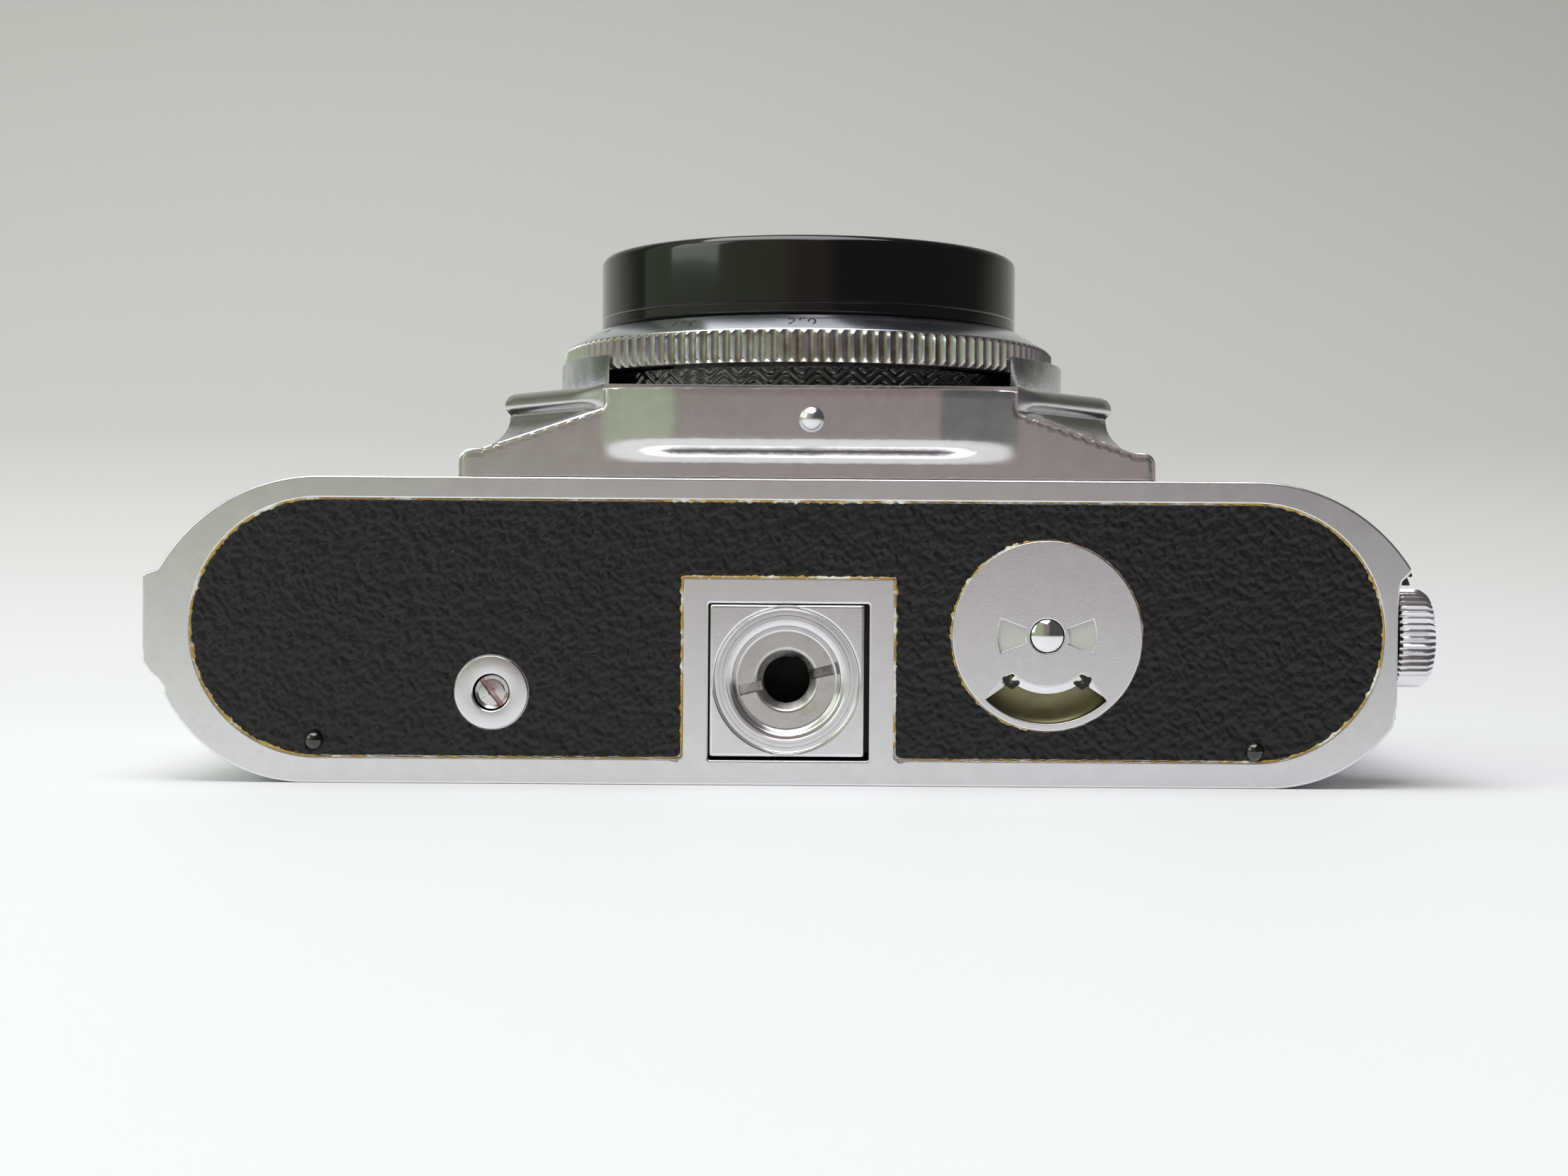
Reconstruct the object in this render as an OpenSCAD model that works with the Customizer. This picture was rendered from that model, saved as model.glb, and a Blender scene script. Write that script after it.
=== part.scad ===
// Leaf-shutter 35 mm camera lying on its back.
// +Z is the lens direction, z = 0 is the surface under the back.
// -Y is the base with the tripod socket, +Y is the top cover.
// The origin is at the middle of the resting face; the tripod axis is at x = 0.

/* [Body] */
// Half of the straight length between the round ends
flat_half = 47.6; // [47:0.1:48.2]
// Depth of the body from the back to the front
body_depth = 31.2; // [31:0.1:31.6]
// Distance from the origin to the outer face of the base plate
base_y = 40; // [39.8:0.1:40.2]
// Distance from the origin to the upper face of the top cover
top_y = 36; // [35.5:0.1:36.5]
// Thickness of the leather panels
leather_t = 0.5; // [0.4:0.1:0.6]
// Wall thickness of the sheet metal shells
shell_t = 1.0; // [0.8:0.1:1.1]

/* [Film path] */
// Radius of each film chamber
chamber_r = 13.2; // [13:0.1:13.3]
// Distance of each chamber's axis from the tripod axis
chamber_x = 46.6; // [46.4:0.1:46.8]
// Height of the film plane above the resting face
film_z = 3.6; // [3.5:0.1:3.7]
// Width of the picture gate
gate_w = 36; // [35:0.5:36]
// Height of the picture gate
gate_h = 24; // [23:0.5:24]

/* [Base] */
// Minor radius of the quarter-inch tripod thread
thread_r = 2.36; // [2.3:0.01:2.4]
// Side of the square tripod block
block_w = 15.7; // [15.5:0.1:15.8]
// Radius of the film reminder dial
dial_r = 9.68; // [9.4:0.02:9.7]
// Radius of the rewind knob on the end of the body
knob_r = 5.1; // [4.8:0.1:5.2]

/* [Lens] */
// Sideways place of the lens axis
lens_x = 2.3; // [2:0.1:2.6]
// Place of the lens axis along the height of the camera
lens_y = -4; // [-4.2:0.1:-3.8]
// Radius of the fluted speed ring
speed_r = 28.1; // [27.9:0.1:28.1]
// Radius of the push-on lens cap
cap_r = 23.9; // [23.8:0.1:24.1]
// Height of the cap's face above the resting face
cap_z = 57.9; // [57.8:0.1:58.2]

/* [Hidden] */
$fn = 96;
eps = 0.02;
// Two arcs make each round end: one from the front face, one from the back face.
front_r = 18.8;
back_r = 16;
back_shift = 1.4;
right_flat = 62.3;
plate_t = 1.4;
inner_y = -base_y + plate_t;
deck_y0 = 20;
deck_y1 = 21.8;
cover_y0 = 21.9;
floor_y0 = -29.6;
floor_y1 = -27.6;
chamber_z = 15.3;
shell_split = 8.3;
sprocket_x = -30;
sprocket_z = 9.3;
socket_z = 10.73;
block_x0 = -7.8;
dial_x = 26.45;
dial_z = 15.4;
knob_y = -32.5;
knob_x0 = 63;
knob_x1 = 66.8;
button_x = -27;
button_z = 22;
side_y = 40.8;
bezel_shift = 0.4;
bezel_r = 28.85;
drum_r = 25.5;
drum_z0 = 36.7;
drum_z1 = 43.6;
neck_r = 22.85;
guide_r = 21.35;
barrel_r = 19.6;
flange_r = 22.9;
speed_z0 = 43.9;
speed_z1 = 47.3;
scale_z1 = 49.2;
iris_n = 5;
iris_pivot = 16.8;
iris_z = 44.8;
blade_n = 3;
blade_pivot = 20.5;
blade_z = 37.7;
wind_teeth = 24;
sprocket_teeth = 12;
shaft_gap = norm([sprocket_x + chamber_x, sprocket_z - chamber_z]);
gear_m = 2 * shaft_gap / (wind_teeth + sprocket_teeth);
throat_w = gate_w + 1;
throat_h = gate_h + 1;
wheel_room_r = 4.1;
collar_gap = 0.06;
// Lowest part of the castings, inside the back shell
inner_z = 3.3;
// Inner face of the base plate's side of the mechanism bay
bay_y = -38.3;
// Well of the film sprocket and passage of the release rod
well_r = 7.2;
rod_room_r = 1.5;
gear_y0 = 23;
gear_y1 = 24.6;
// Places of the two small feet beside the base leather
foot_left = [-48, 4.3];
foot_right = [47.6, 3.8];

// ---- shared shapes ----

// An outline drawn in the XZ plane, swept along Y.
module slab(y0, y1) {
    translate([0, y1, 0]) rotate([90, 0, 0]) linear_extrude(y1 - y0) children();
}

module y_cyl(r, y0, y1, x, z) {
    translate([x, y1, z]) rotate([90, 0, 0]) cylinder(h = y1 - y0, r = r);
}

module x_cyl(r, x0, x1, y, z) {
    translate([x0, y, z]) rotate([0, 90, 0]) cylinder(h = x1 - x0, r = r);
}

// A ring around the lens axis.
module lens_ring(ro, ri, z0, z1) {
    translate([lens_x, lens_y, z0]) difference() {
        cylinder(h = z1 - z0, r = ro);
        translate([0, 0, -1]) cylinder(h = z1 - z0 + 2, r = ri);
    }
}

module lens_disc(r, z0, z1) {
    translate([lens_x, lens_y, z0]) cylinder(h = z1 - z0, r = r);
}

// Rectangle between two corners in the XZ plane.
module rect(x0, z0, x1, z1) {
    translate([x0, z0]) square([x1 - x0, z1 - z0]);
}

module block(x0, y0, z0, x1, y1, z1) {
    translate([x0, y0, z0]) cube([x1 - x0, y1 - y0, z1 - z0]);
}

// Body outline, inset by d, with both ends fully round.
module round_outline(d = 0) {
    rect(-flat_half, d, flat_half, body_depth - d);
    for (s = [-1, 1]) intersection() {
        translate([s * flat_half, body_depth - front_r]) circle(front_r - d);
        translate([s * (flat_half + back_shift), back_r]) circle(back_r - d);
    }
}

// Body outline with the flat that the rewind knob needs on the right end.
module outline(d = 0) {
    difference() {
        round_outline(d);
        rect(right_flat - d, -1, right_flat + 5, 21.3 - d);
    }
}

// Outline of the castings, which the leather and the back shell enclose.
module inner_outline(low_z) {
    intersection() {
        outline(leather_t);
        rect(-70, shell_split + 0.1, 70, body_depth);
    }
    intersection() {
        outline(shell_t + 0.3);
        rect(-70, low_z, 70, shell_split + 0.2);
    }
}

// Stadium of the leather panel on the base.
module base_panel(d = 0) {
    panel_r = 13.1;
    panel_half = 47.6;
    panel_z = 15.82;
    rect(-panel_half, panel_z - panel_r + d, panel_half, panel_z + panel_r - d);
    for (s = [-1, 1]) translate([s * panel_half, panel_z]) circle(panel_r - d);
}

// The chrome field left bare around the tripod block.
module tripod_field(d = 0) {
    rect(-10.6 - d, -1, 11 + d, 21.15 + d);
}

// Spur gear outline with straight flanks and some backlash.
module gear_outline(teeth, turn = 0) {
    pitch_r = gear_m * teeth / 2;
    root_r = pitch_r - 1.15 * gear_m;
    tip_r = pitch_r + 0.85 * gear_m;
    root_a = 360 / teeth * 0.30;
    tip_a = 360 / teeth * 0.10;
    rotate(turn) union() {
        circle(root_r);
        for (i = [0 : teeth - 1]) rotate(i * 360 / teeth) polygon([
            [(root_r - 0.3) * cos(root_a), -(root_r - 0.3) * sin(root_a)],
            [tip_r * cos(tip_a), -tip_r * sin(tip_a)],
            [tip_r * cos(tip_a), tip_r * sin(tip_a)],
            [(root_r - 0.3) * cos(root_a), (root_r - 0.3) * sin(root_a)]
        ]);
    }
}

// Mitre wheel about +Z with its apex at the origin; its teeth stand on a 45 degree cone.
module mitre_wheel() {
    wheel_teeth = 10;
    translate([0, 0, -4.2]) cylinder(h = 1.9, r1 = 3.6, r2 = 1.7);
    for (i = [0 : wheel_teeth - 1]) rotate(i * 360 / wheel_teeth)
        translate([2.55, 0, -2.95]) rotate([0, 45, 0])
            translate([-0.6, -0.25, -0.9]) cube([1.05, 0.5, 1.5]);
}

// ---- fixed body ----

module chassis_casting() {
    color("#2e2f31") difference() {
        slab(floor_y1, deck_y0) difference() {
            inner_outline(film_z + 1);
            for (s = [-1, 1]) {
                translate([s * chamber_x, chamber_z]) circle(chamber_r);
                translate([s * chamber_x - chamber_r, -1]) square([2 * chamber_r, chamber_z + 1]);
                translate([s * (chamber_x + 8), -1]) square([40, 2 * (7.6 + 1)], center = true);
            }
            translate([sprocket_x, sprocket_z]) circle(well_r);
            rect(sprocket_x - well_r, -1, sprocket_x + well_r, sprocket_z);
        }
        block(lens_x - throat_w / 2, lens_y - throat_h / 2, 0,
              lens_x + throat_w / 2, lens_y + throat_h / 2, 40);
        // Seat of the film gate
        block(-20.1, -23.1, 0, 24.7, 15.1, film_z + 1.05);
        // Passage of the release rod
        y_cyl(rod_room_r, 8, 30, button_x, button_z);
        collar_shape(collar_gap);
    }
}

module deck_plate() {
    color("#9a9b9d") difference() {
        slab(deck_y0, deck_y1) inner_outline(inner_z);
        y_cyl(3.05, 10, 30, -chamber_x, chamber_z);
        y_cyl(1.55, 10, 30, sprocket_x, sprocket_z);
        y_cyl(rod_room_r, 8, 30, button_x, button_z);
    }
}

// Wall, floor and bosses of the mechanism bay under the film chambers.
module base_frame() {
    color("#8e8f92") difference() {
        union() {
            slab(floor_y0, floor_y1) inner_outline(inner_z);
            slab(bay_y, floor_y0) difference() {
                inner_outline(inner_z);
                intersection() {
                    outline(2.6);
                    rect(-70, 5, 70, 40);
                }
            }
            block(-9.9, bay_y, 3.3, 10.1, floor_y0, 20.4);
            block(54, -37, 10.4, 56.5, floor_y0, 20.2);
        }
        block(block_x0 - 0.05, -39, 2.88, block_x0 + block_w + 0.05, floor_y0 - eps, 18.46);
        y_cyl(2.05, -30, -27, chamber_x, chamber_z);
        y_cyl(1.76, -30, -27, sprocket_x, sprocket_z);
        x_cyl(1.55, 50, 70, knob_y, chamber_z);
        y_cyl(1.55, -30, -27, -chamber_x, chamber_z);
        // Room for the mitre wheels and the knob's collar
        y_cyl(wheel_room_r, -30, -28, chamber_x, chamber_z);
        x_cyl(wheel_room_r, chamber_x + 1.6, chamber_x + 4.6, knob_y, chamber_z);
        collar_shape(collar_gap);
    }
}

// Polished frame with two inner rails that carry the film and two outer rails that guide it.
module film_gate() {
    color("#c4c5c7") difference() {
        union() {
            block(-20, -23, film_z + 0.4, 24.6, 15, film_z + 1);
            for (y = [-18.4, 9]) block(-20, y, film_z, 24.6, y + 1.4, film_z + 0.5);
            for (y = [-22.6, 13.6]) block(-20, y, film_z - 0.5, 24.6, y + 1, film_z + 0.5);
        }
        block(lens_x - gate_w / 2, lens_y - gate_h / 2, 0, lens_x + gate_w / 2, lens_y + gate_h / 2, 10);
    }
}

// Covering that runs from the housing round each end to the back shell.
module front_leather() {
    color("#1a1a1c") difference() {
        slab(bay_y, deck_y1) intersection() {
            difference() {
                outline(0);
                outline(leather_t);
                rect(-34.2, 0, 38.2, 50);
            }
            rect(-70, shell_split + 0.1, 70, body_depth + 1);
        }
        x_cyl(knob_r + 0.6, 60, 70, knob_y, chamber_z);
        block(60, knob_y, chamber_z, 70, -23.6, 21.6);
    }
}

// Die-formed housing of the shutter: wings, raised block and round platform.
module front_housing() {
    housing_y0 = -38;
    wing_l = -33.7;
    wing_r = 37.65;
    color("#c9cacc") difference() {
        union() {
            slab(housing_y0, deck_y0) polygon([
                [wing_l, body_depth - leather_t], [wing_r, body_depth - leather_t], [wing_r, 33.6],
                [wing_r - 2.2, 34], [23.5, 38.2], [-18.9, 38.2], [wing_l + 2.2, 34], [wing_l, 33.6]
            ]);
            slab(housing_y0, -29) polygon([
                [-19, 34.6], [23.5, 34.6], [23.5, 40.2], [23, 40.7], [-18.5, 40.7], [-19, 40.2]
            ]);
            block(-29.6, -30, body_depth, 34, 20, 40.9);
        }
        lens_disc(drum_r + 0.05, drum_z0 - eps, 50);
        block(lens_x - throat_w / 2, lens_y - throat_h / 2, 20,
              lens_x + throat_w / 2, lens_y + throat_h / 2, 50);
    }
}

module front_foot() {
    foot_r = 1.33;
    color("#d5d6d8") translate([2.37, -38.02, 37.3]) rotate([90, 0, 0]) {
        cylinder(h = 1.53, r = foot_r);
        intersection() {
            translate([0, 0, 1.45]) sphere(r = foot_r);
            translate([0, 0, 2.43]) cube([4, 4, 2.1], center = true);
        }
    }
}

module tripod_block() {
    color("#b9babd") difference() {
        block(block_x0, -40.1, 2.94, block_x0 + block_w, floor_y0 - 0.05, 18.4);
        y_cyl(5.82, -45, -20, 0, socket_z);
    }
}

// Slotted bush with the tripod thread.
module tripod_bush() {
    color("#a7a8ab") difference() {
        y_cyl(5.8, -39.2, floor_y0 - 0.05, 0, socket_z);
        y_cyl(thread_r, -45, -20, 0, socket_z);
        translate([0, -38.4, socket_z]) rotate([90, 0, 0]) cylinder(h = 0.85, r1 = thread_r, r2 = 3.18);
        translate([0, -39, socket_z]) rotate([0, -13, 0]) cube([12, 1.6, 1], center = true);
    }
}

// Round seat of the knob with the finger over it, grown by a gap g.
module collar_shape(g = 0) {
    x_cyl(4.1 + g, 61 - g, 62.9, knob_y, chamber_z);
    block(61 - g, knob_y + 1 - g, 18.6 - g, 63.4, -24 + g, 21.2 + g);
}

module knob_collar() {
    color("#151517") difference() {
        collar_shape();
        x_cyl(1.9, 60, 70, knob_y, chamber_z);
        x_cyl(knob_r + 0.2, 62.9, 70, knob_y, chamber_z);
    }
}

// Hood over the finder, open underneath.
module top_cover() {
    color("#c9cacc") difference() {
        slab(cover_y0, top_y) round_outline(0);
        slab(cover_y0 - 1, top_y - shell_t) round_outline(shell_t);
        y_cyl(3.2, 30, 40, -chamber_x, chamber_z);
        y_cyl(3.5, 30, 40, button_x, button_z);
        y_cyl(4.4, 30, 40, sprocket_x, sprocket_z);
        block(20.5, 24.5, 28, 34.5, 33.5, 33);
        block(3, 25.5, 28, 13, 32.5, 33);
        translate([-14, 29, 28]) cylinder(h = 5, r = 3.2);
        translate([27.5, 29, -1]) cylinder(h = 5, r = 4.3);
    }
}

// Shoe for a flash or meter; the accessory slides in along Z.
module accessory_shoe() {
    color("#c4c5c7") difference() {
        block(lens_x - 10.9, top_y, 7, lens_x + 10.9, top_y + 3.5, 25);
        block(lens_x - 9.4, top_y + 0.8, 6, lens_x + 9.4, top_y + 2.8, 23.8);
        block(lens_x - 6.9, top_y + 2.7, 6, lens_x + 6.9, top_y + 5, 26);
    }
}

module front_windows() {
    color([0.75, 0.85, 0.88, 0.5]) {
        block(20.55, 24.55, 30.1, 34.45, 33.45, 31);
        block(3.05, 25.55, 30.1, 12.95, 32.45, 31);
        translate([-14, 29, 30.1]) cylinder(h = 0.9, r = 3.15);
    }
}

module eyepiece_glass() {
    color([0.75, 0.85, 0.88, 0.5]) translate([27.5, 29, 0.2]) cylinder(h = 1.4, r = 4.25);
}

module finder_block() {
    color([0.75, 0.82, 0.85, 0.6]) block(21.5, 24, 8, 33.5, 33, 24);
}

module rangefinder_mirror() {
    color("#b5bcc2") translate([-14, 29, 22]) rotate([0, 45, 0]) cube([9, 7, 1], center = true);
}

// Eyelet standing on one end of the top cover.
module strap_lug(s) {
    difference() {
        union() {
            translate([s * 64.6, 27, 24]) cylinder(h = 2, r = 2.2, center = true);
            block(min(s * 60, s * 64.6), 24.8, 23, max(s * 60, s * 64.6), 29.2, 25);
        }
        translate([s * 64.6, 27, 24]) cylinder(h = 4, r = 1.2, center = true);
        slab(20, 40) round_outline(0);
    }
}

module strap_lugs() {
    color("#d5d6d8") for (s = [-1, 1]) strap_lug(s);
}

// Black drum of the shutter with the tube that guides the lens barrel.
module shutter_housing() {
    color("#101012") difference() {
        union() {
            lens_disc(drum_r, drum_z0, drum_z1);
            lens_disc(neck_r, drum_z1 - eps, scale_z1 - 0.1);
            lens_disc(guide_r, drum_z1, 53.6);
        }
        lens_disc(10.5, 30, 60);
        lens_disc(23.3, 37.4, 39.6);
        lens_disc(barrel_r + 0.05, 40.6, 60);
    }
    color("#101012") for (i = [0 : blade_n - 1])
        translate([lens_x, lens_y, 37.3]) rotate(i * 360 / blade_n)
            translate([blade_pivot, 0, 0]) cylinder(h = 1.4, r = 0.6);
}

// Chrome band cut away on the base side, with a thin lip beside the speed ring.
module shutter_bezel() {
    color("#a9aaad") difference() {
        translate([lens_x + bezel_shift, lens_y, 41.2]) cylinder(h = 4.2, r = bezel_r);
        lens_disc(drum_r, 40, 50);
        lens_disc(speed_r + 0.1, 43.7, 50);
        block(lens_x - 21.8, -40, 40, lens_x + 21.8, -12, 50);
    }
}

module flash_socket() {
    color("#c4c5c7") translate([-24, 15, 40.92]) difference() {
        cylinder(h = 2.6, r = 2.6);
        translate([0, 0, 0.6]) cylinder(h = 3, r = 1.5);
    }
}

// ---- back cover ----

module back_shell() {
    color("#bfc0c3") difference() {
        slab(inner_y, deck_y1) intersection() {
            difference() {
                outline(0);
                outline(shell_t);
            }
            rect(-70, -1, 70, shell_split);
        }
        slab(-36.5, 20.5) rect(-46, -1, 46, leather_t);
    }
}

module base_plate() {
    color("#c9cacc") difference() {
        union() {
            slab(-base_y, inner_y) outline(0);
            // Finger tab on the left end
            slab(-base_y, inner_y) polygon([
                [-60, 9.4], [-63.3, 9.5], [-63.9, 10.4], [-64.7, 11], [-65.5, 12.2], [-65.5, 21],
                [-64, 21.6], [-60, 21.6]
            ]);
        }
        slab(-base_y - 1, -base_y + leather_t) difference() {
            base_panel();
            tripod_field();
        }
        slab(-base_y - 1, inner_y + 1) rect(-7.95, 2.58, 8.39, 18.5);
        y_cyl(9.3, -45, -30, dial_x, dial_z);
        y_cyl(2.65, -45, -30, sprocket_x, sprocket_z);
    }
}

module base_leather() {
    color("#19191b") difference() {
        slab(-base_y - 0.05, -base_y + leather_t) difference() {
            base_panel(0.12);
            tripod_field(0.12);
        }
        y_cyl(dial_r + 0.15, -45, -30, dial_x, dial_z);
        y_cyl(3.85, -45, -30, sprocket_x, sprocket_z);
        y_cyl(0.95, -45, -30, foot_left[0], foot_left[1]);
        y_cyl(0.95, -45, -30, foot_right[0], foot_right[1]);
    }
}

module back_leather() {
    color("#19191b") slab(-36.4, 20.4) rect(-45.9, 0, 45.9, leather_t);
}

module rear_foot(x, z) {
    y_cyl(0.5, -base_y, -39.4, x, z);
    translate([x, -base_y, z]) sphere(r = 0.8);
}

module rear_feet() {
    color("#0c0c0d") {
        difference() {
            union() {
                rear_foot(foot_left[0], foot_left[1]);
                rear_foot(foot_right[0], foot_right[1]);
            }
            block(-60, -39.5, 0, 60, -38, 10);
        }
    }
}

module release_eyelet() {
    color("#c4c5c7") difference() {
        union() {
            y_cyl(3.75, -40.2, -39.5, sprocket_x, sprocket_z);
            y_cyl(2.6, -39.6, -38.2, sprocket_x, sprocket_z);
        }
        y_cyl(1.88, -45, -30, sprocket_x, sprocket_z);
    }
}

module dial_bed() {
    color("#5d5b45") difference() {
        y_cyl(9.2, -39.3, -38.2, dial_x, dial_z);
        difference() {
            y_cyl(8.9, -40, -38.7, dial_x, dial_z);
            y_cyl(5.2, -41, -38, dial_x, dial_z);
        }
    }
}

module dial_rivet() {
    head_r = 1.62;
    head_h = 0.46;
    dome_r = (head_r * head_r + head_h * head_h) / (2 * head_h);
    color("#d5d6d8") translate([dial_x, 0, dial_z]) {
        y_cyl(0.9, -40.4, -39.32, 0, 0);
        translate([0, -40.34, 0]) rotate([90, 0, 0]) intersection() {
            translate([0, 0, head_h - dome_r]) sphere(r = dome_r);
            cylinder(h = 2, r = head_r);
        }
    }
}

module pressure_plate() {
    color("#2b2b2e") block(-23, -23.5, 1.95, 27.6, 15.5, 2.8);
}

// Bowed leaf between the back and the pressure plate.
module pressure_spring() {
    color("#a7a8ab") difference() {
        block(-20, -6, 1.05, 24.6, -2, 1.9);
        block(-18, -7, 1.3, 22.6, -1, 3);
    }
}

// ---- moving parts on the base ----

// One sector of the dial between two radii, centred on an angle.
module dial_sector(r0, r1, half, turn) {
    rotate(turn) difference() {
        intersection() {
            circle(r1);
            polygon([[0, 0], [20 * cos(half), -20 * sin(half)], [20 * cos(half), 20 * sin(half)]]);
        }
        circle(r0);
    }
}

module reminder_dial() {
    color("#c9cacc") translate([dial_x, 0, dial_z]) difference() {
        slab(-40.3, -39.54) circle(dial_r);
        slab(-45, -38) circle(0.97);
        slab(-45, -38) dial_sector(5.2, 8.8, 44, -90);
        slab(-45, -40) for (a = [0, 180]) dial_sector(2.2, 4.96, 20, a);
    }
}

module release_pin() {
    color("#b9b3b0") difference() {
        y_cyl(1.7, -39.6, -29.7, sprocket_x, sprocket_z);
        translate([sprocket_x, -39.6, sprocket_z]) rotate([0, 57, 0]) cube([5, 1, 0.55], center = true);
    }
}

module rewind_knob() {
    color("#c4c5c7") difference() {
        x_cyl(knob_r, knob_x0, knob_x1, knob_y, chamber_z);
        x_cyl(1.5, 60, knob_x1 - 0.8, knob_y, chamber_z);
    }
}

module knob_shaft() {
    color("#9a9b9d") {
        x_cyl(1.5, chamber_x + 3.9, knob_x1 - 0.8, knob_y, chamber_z);
        translate([chamber_x, knob_y, chamber_z]) rotate([0, -90, 0]) mitre_wheel();
    }
}

module rewind_fork() {
    color("#9a9b9d") difference() {
        union() {
            y_cyl(2, knob_y + 3.9, -24.6, chamber_x, chamber_z);
            translate([chamber_x, knob_y, chamber_z]) rotate([90, 0, 0]) mitre_wheel();
        }
        block(chamber_x - 0.8, -26.4, 0, chamber_x + 0.8, -20, 30);
    }
}

// ---- winding train ----

module winding_knob() {
    color("#c9cacc") {
        y_cyl(9.5, top_y + 0.15, side_y, -chamber_x, chamber_z);
        y_cyl(3, 17.2, top_y + 0.2, -chamber_x, chamber_z);
    }
}

module winding_gear() {
    color("#b08d4a") translate([-chamber_x, 0, chamber_z]) slab(gear_y0, gear_y1) difference() {
        gear_outline(wind_teeth, mesh_angle());
        circle(3);
    }
}

// Direction from the winding shaft to the sprocket shaft, in the XZ plane.
function mesh_angle() = atan2(sprocket_z - chamber_z, sprocket_x + chamber_x);

module film_sprocket() {
    color("#c4c5c7") {
        y_cyl(1.5, -28.3, 26, sprocket_x, sprocket_z);
        y_cyl(4.6, -23.4, 15.4, sprocket_x, sprocket_z);
        for (y = [-20.6, 10.6]) y_cyl(5.9, y, y + 2, sprocket_x, sprocket_z);
        for (y = [-19.6, 11.6], i = [0 : 7])
            translate([sprocket_x, y, sprocket_z]) rotate([0, i * 45, 0])
                translate([5.5, -0.7, -0.6]) cube([1.3, 1.4, 1.2]);
    }
}

module sprocket_gear() {
    color("#b08d4a") translate([sprocket_x, 0, sprocket_z]) slab(gear_y0, gear_y1) difference() {
        gear_outline(sprocket_teeth, 180 + mesh_angle() + 180 / sprocket_teeth);
        circle(1.5);
    }
}

module takeup_spool() {
    color("#1c1c1f") difference() {
        union() {
            y_cyl(8, -26, 18.6, -chamber_x, chamber_z);
            for (y = [-27.2, 17.4]) y_cyl(12.2, y, y + 1.2, -chamber_x, chamber_z);
            y_cyl(1.5, -29.4, -27, -chamber_x, chamber_z);
        }
        translate([-chamber_x, -4, chamber_z]) cube([2, 36, 30], center = true);
        y_cyl(3.05, 17, 30, -chamber_x, chamber_z);
    }
}

module counter_dial() {
    color("#e4e4e2") {
        y_cyl(4.2, 34.2, top_y - 0.1, sprocket_x, sprocket_z);
        y_cyl(1.2, 26.2, 34.3, sprocket_x, sprocket_z);
    }
}

module shutter_button() {
    color("#d5d6d8") difference() {
        union() {
            y_cyl(3.4, 34.6, 39.4, button_x, button_z);
            y_cyl(1.4, 12, 35, button_x, button_z);
        }
        y_cyl(1.3, 36.4, 45, button_x, button_z);
    }
}

// ---- shutter and lens ----

module speed_ring() {
    color("#b4b4b4") lens_ring(speed_r, neck_r + 0.1, speed_z0, speed_z1);
}

module speed_scale() {
    color("#8f9196") translate([lens_x, lens_y, speed_z1]) difference() {
        cylinder(h = scale_z1 - speed_z1, r1 = speed_r, r2 = 24.5);
        translate([0, 0, -1]) cylinder(h = 5, r = neck_r + 0.1);
    }
}

module aperture_ring() {
    color("#b4b4b4") lens_ring(flange_r, guide_r + 0.07, 49.35, 51.5);
}

module focus_ring() {
    color("#b4b4b4") lens_ring(flange_r, guide_r + 0.07, 51.65, 53.7);
}

module lens_barrel() {
    color("#c4c5c7") translate([lens_x, lens_y, 0]) {
        rotate_extrude() polygon([
            [11, 41.5], [barrel_r, 41.5], [barrel_r, 53.9], [flange_r, 53.9], [flange_r, 56.6],
            [20.25, 56.6], [20.25, 54.4], [14.2, 53.2], [14.2, 50], [12.4, 50], [12.4, 46.2],
            [18.2, 46.2], [18.2, 44.6], [11, 44.6]
        ]);
        for (i = [0 : iris_n - 1]) rotate(i * 360 / iris_n)
            translate([iris_pivot, 0, 44.5]) cylinder(h = 1.4, r = 0.4);
    }
}

// Front, middle and rear glasses, each a disc with two ground faces.
module lens_elements() {
    color([0.55, 0.5, 0.75, 0.4]) translate([lens_x, lens_y, 0]) {
        intersection() {
            translate([0, 0, 50.3]) cylinder(h = 4, r = 14.1);
            translate([0, 0, 53.4 - 36]) sphere(r = 36);
        }
        translate([0, 0, 47]) cylinder(h = 2.6, r = 12.3);
        intersection() {
            translate([0, 0, 41.6]) cylinder(h = 2.6, r = 10.9);
            translate([0, 0, 41.7 + 30]) sphere(r = 30);
        }
    }
}

module lens_cap() {
    color("#0d0d0e") translate([lens_x, lens_y, 0]) rotate_extrude() polygon([
        [0, cap_z], [cap_r - 1, cap_z], [cap_r - 0.3, cap_z - 0.3], [cap_r, cap_z - 1], [cap_r, 50],
        [cap_r - 0.3, 49.4], [flange_r + 0.07, 49.4], [flange_r + 0.07, cap_z - 1], [0, cap_z - 1]
    ]);
}

module sector_ring() {
    color("#b08d4a") lens_ring(23.2, 21.3, 38.95, 39.4);
}

// One crescent of the iris, pivoted at its thick end.
module iris_blade(i) {
    color("#303236") translate([lens_x, lens_y, iris_z + 0.2 * i]) rotate(i * 360 / iris_n)
        linear_extrude(0.12) difference() {
            union() {
                intersection() {
                    difference() {
                        circle(15.4);
                        circle(11.6);
                    }
                    polygon([[0, 0], [30, 0], [30, 40], [-7, 40]]);
                }
                translate([iris_pivot - 0.2, 0]) circle(1);
                rect(13.5, -0.9, iris_pivot, 0.9);
            }
            translate([iris_pivot, 0]) circle(0.47);
        }
}

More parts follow.
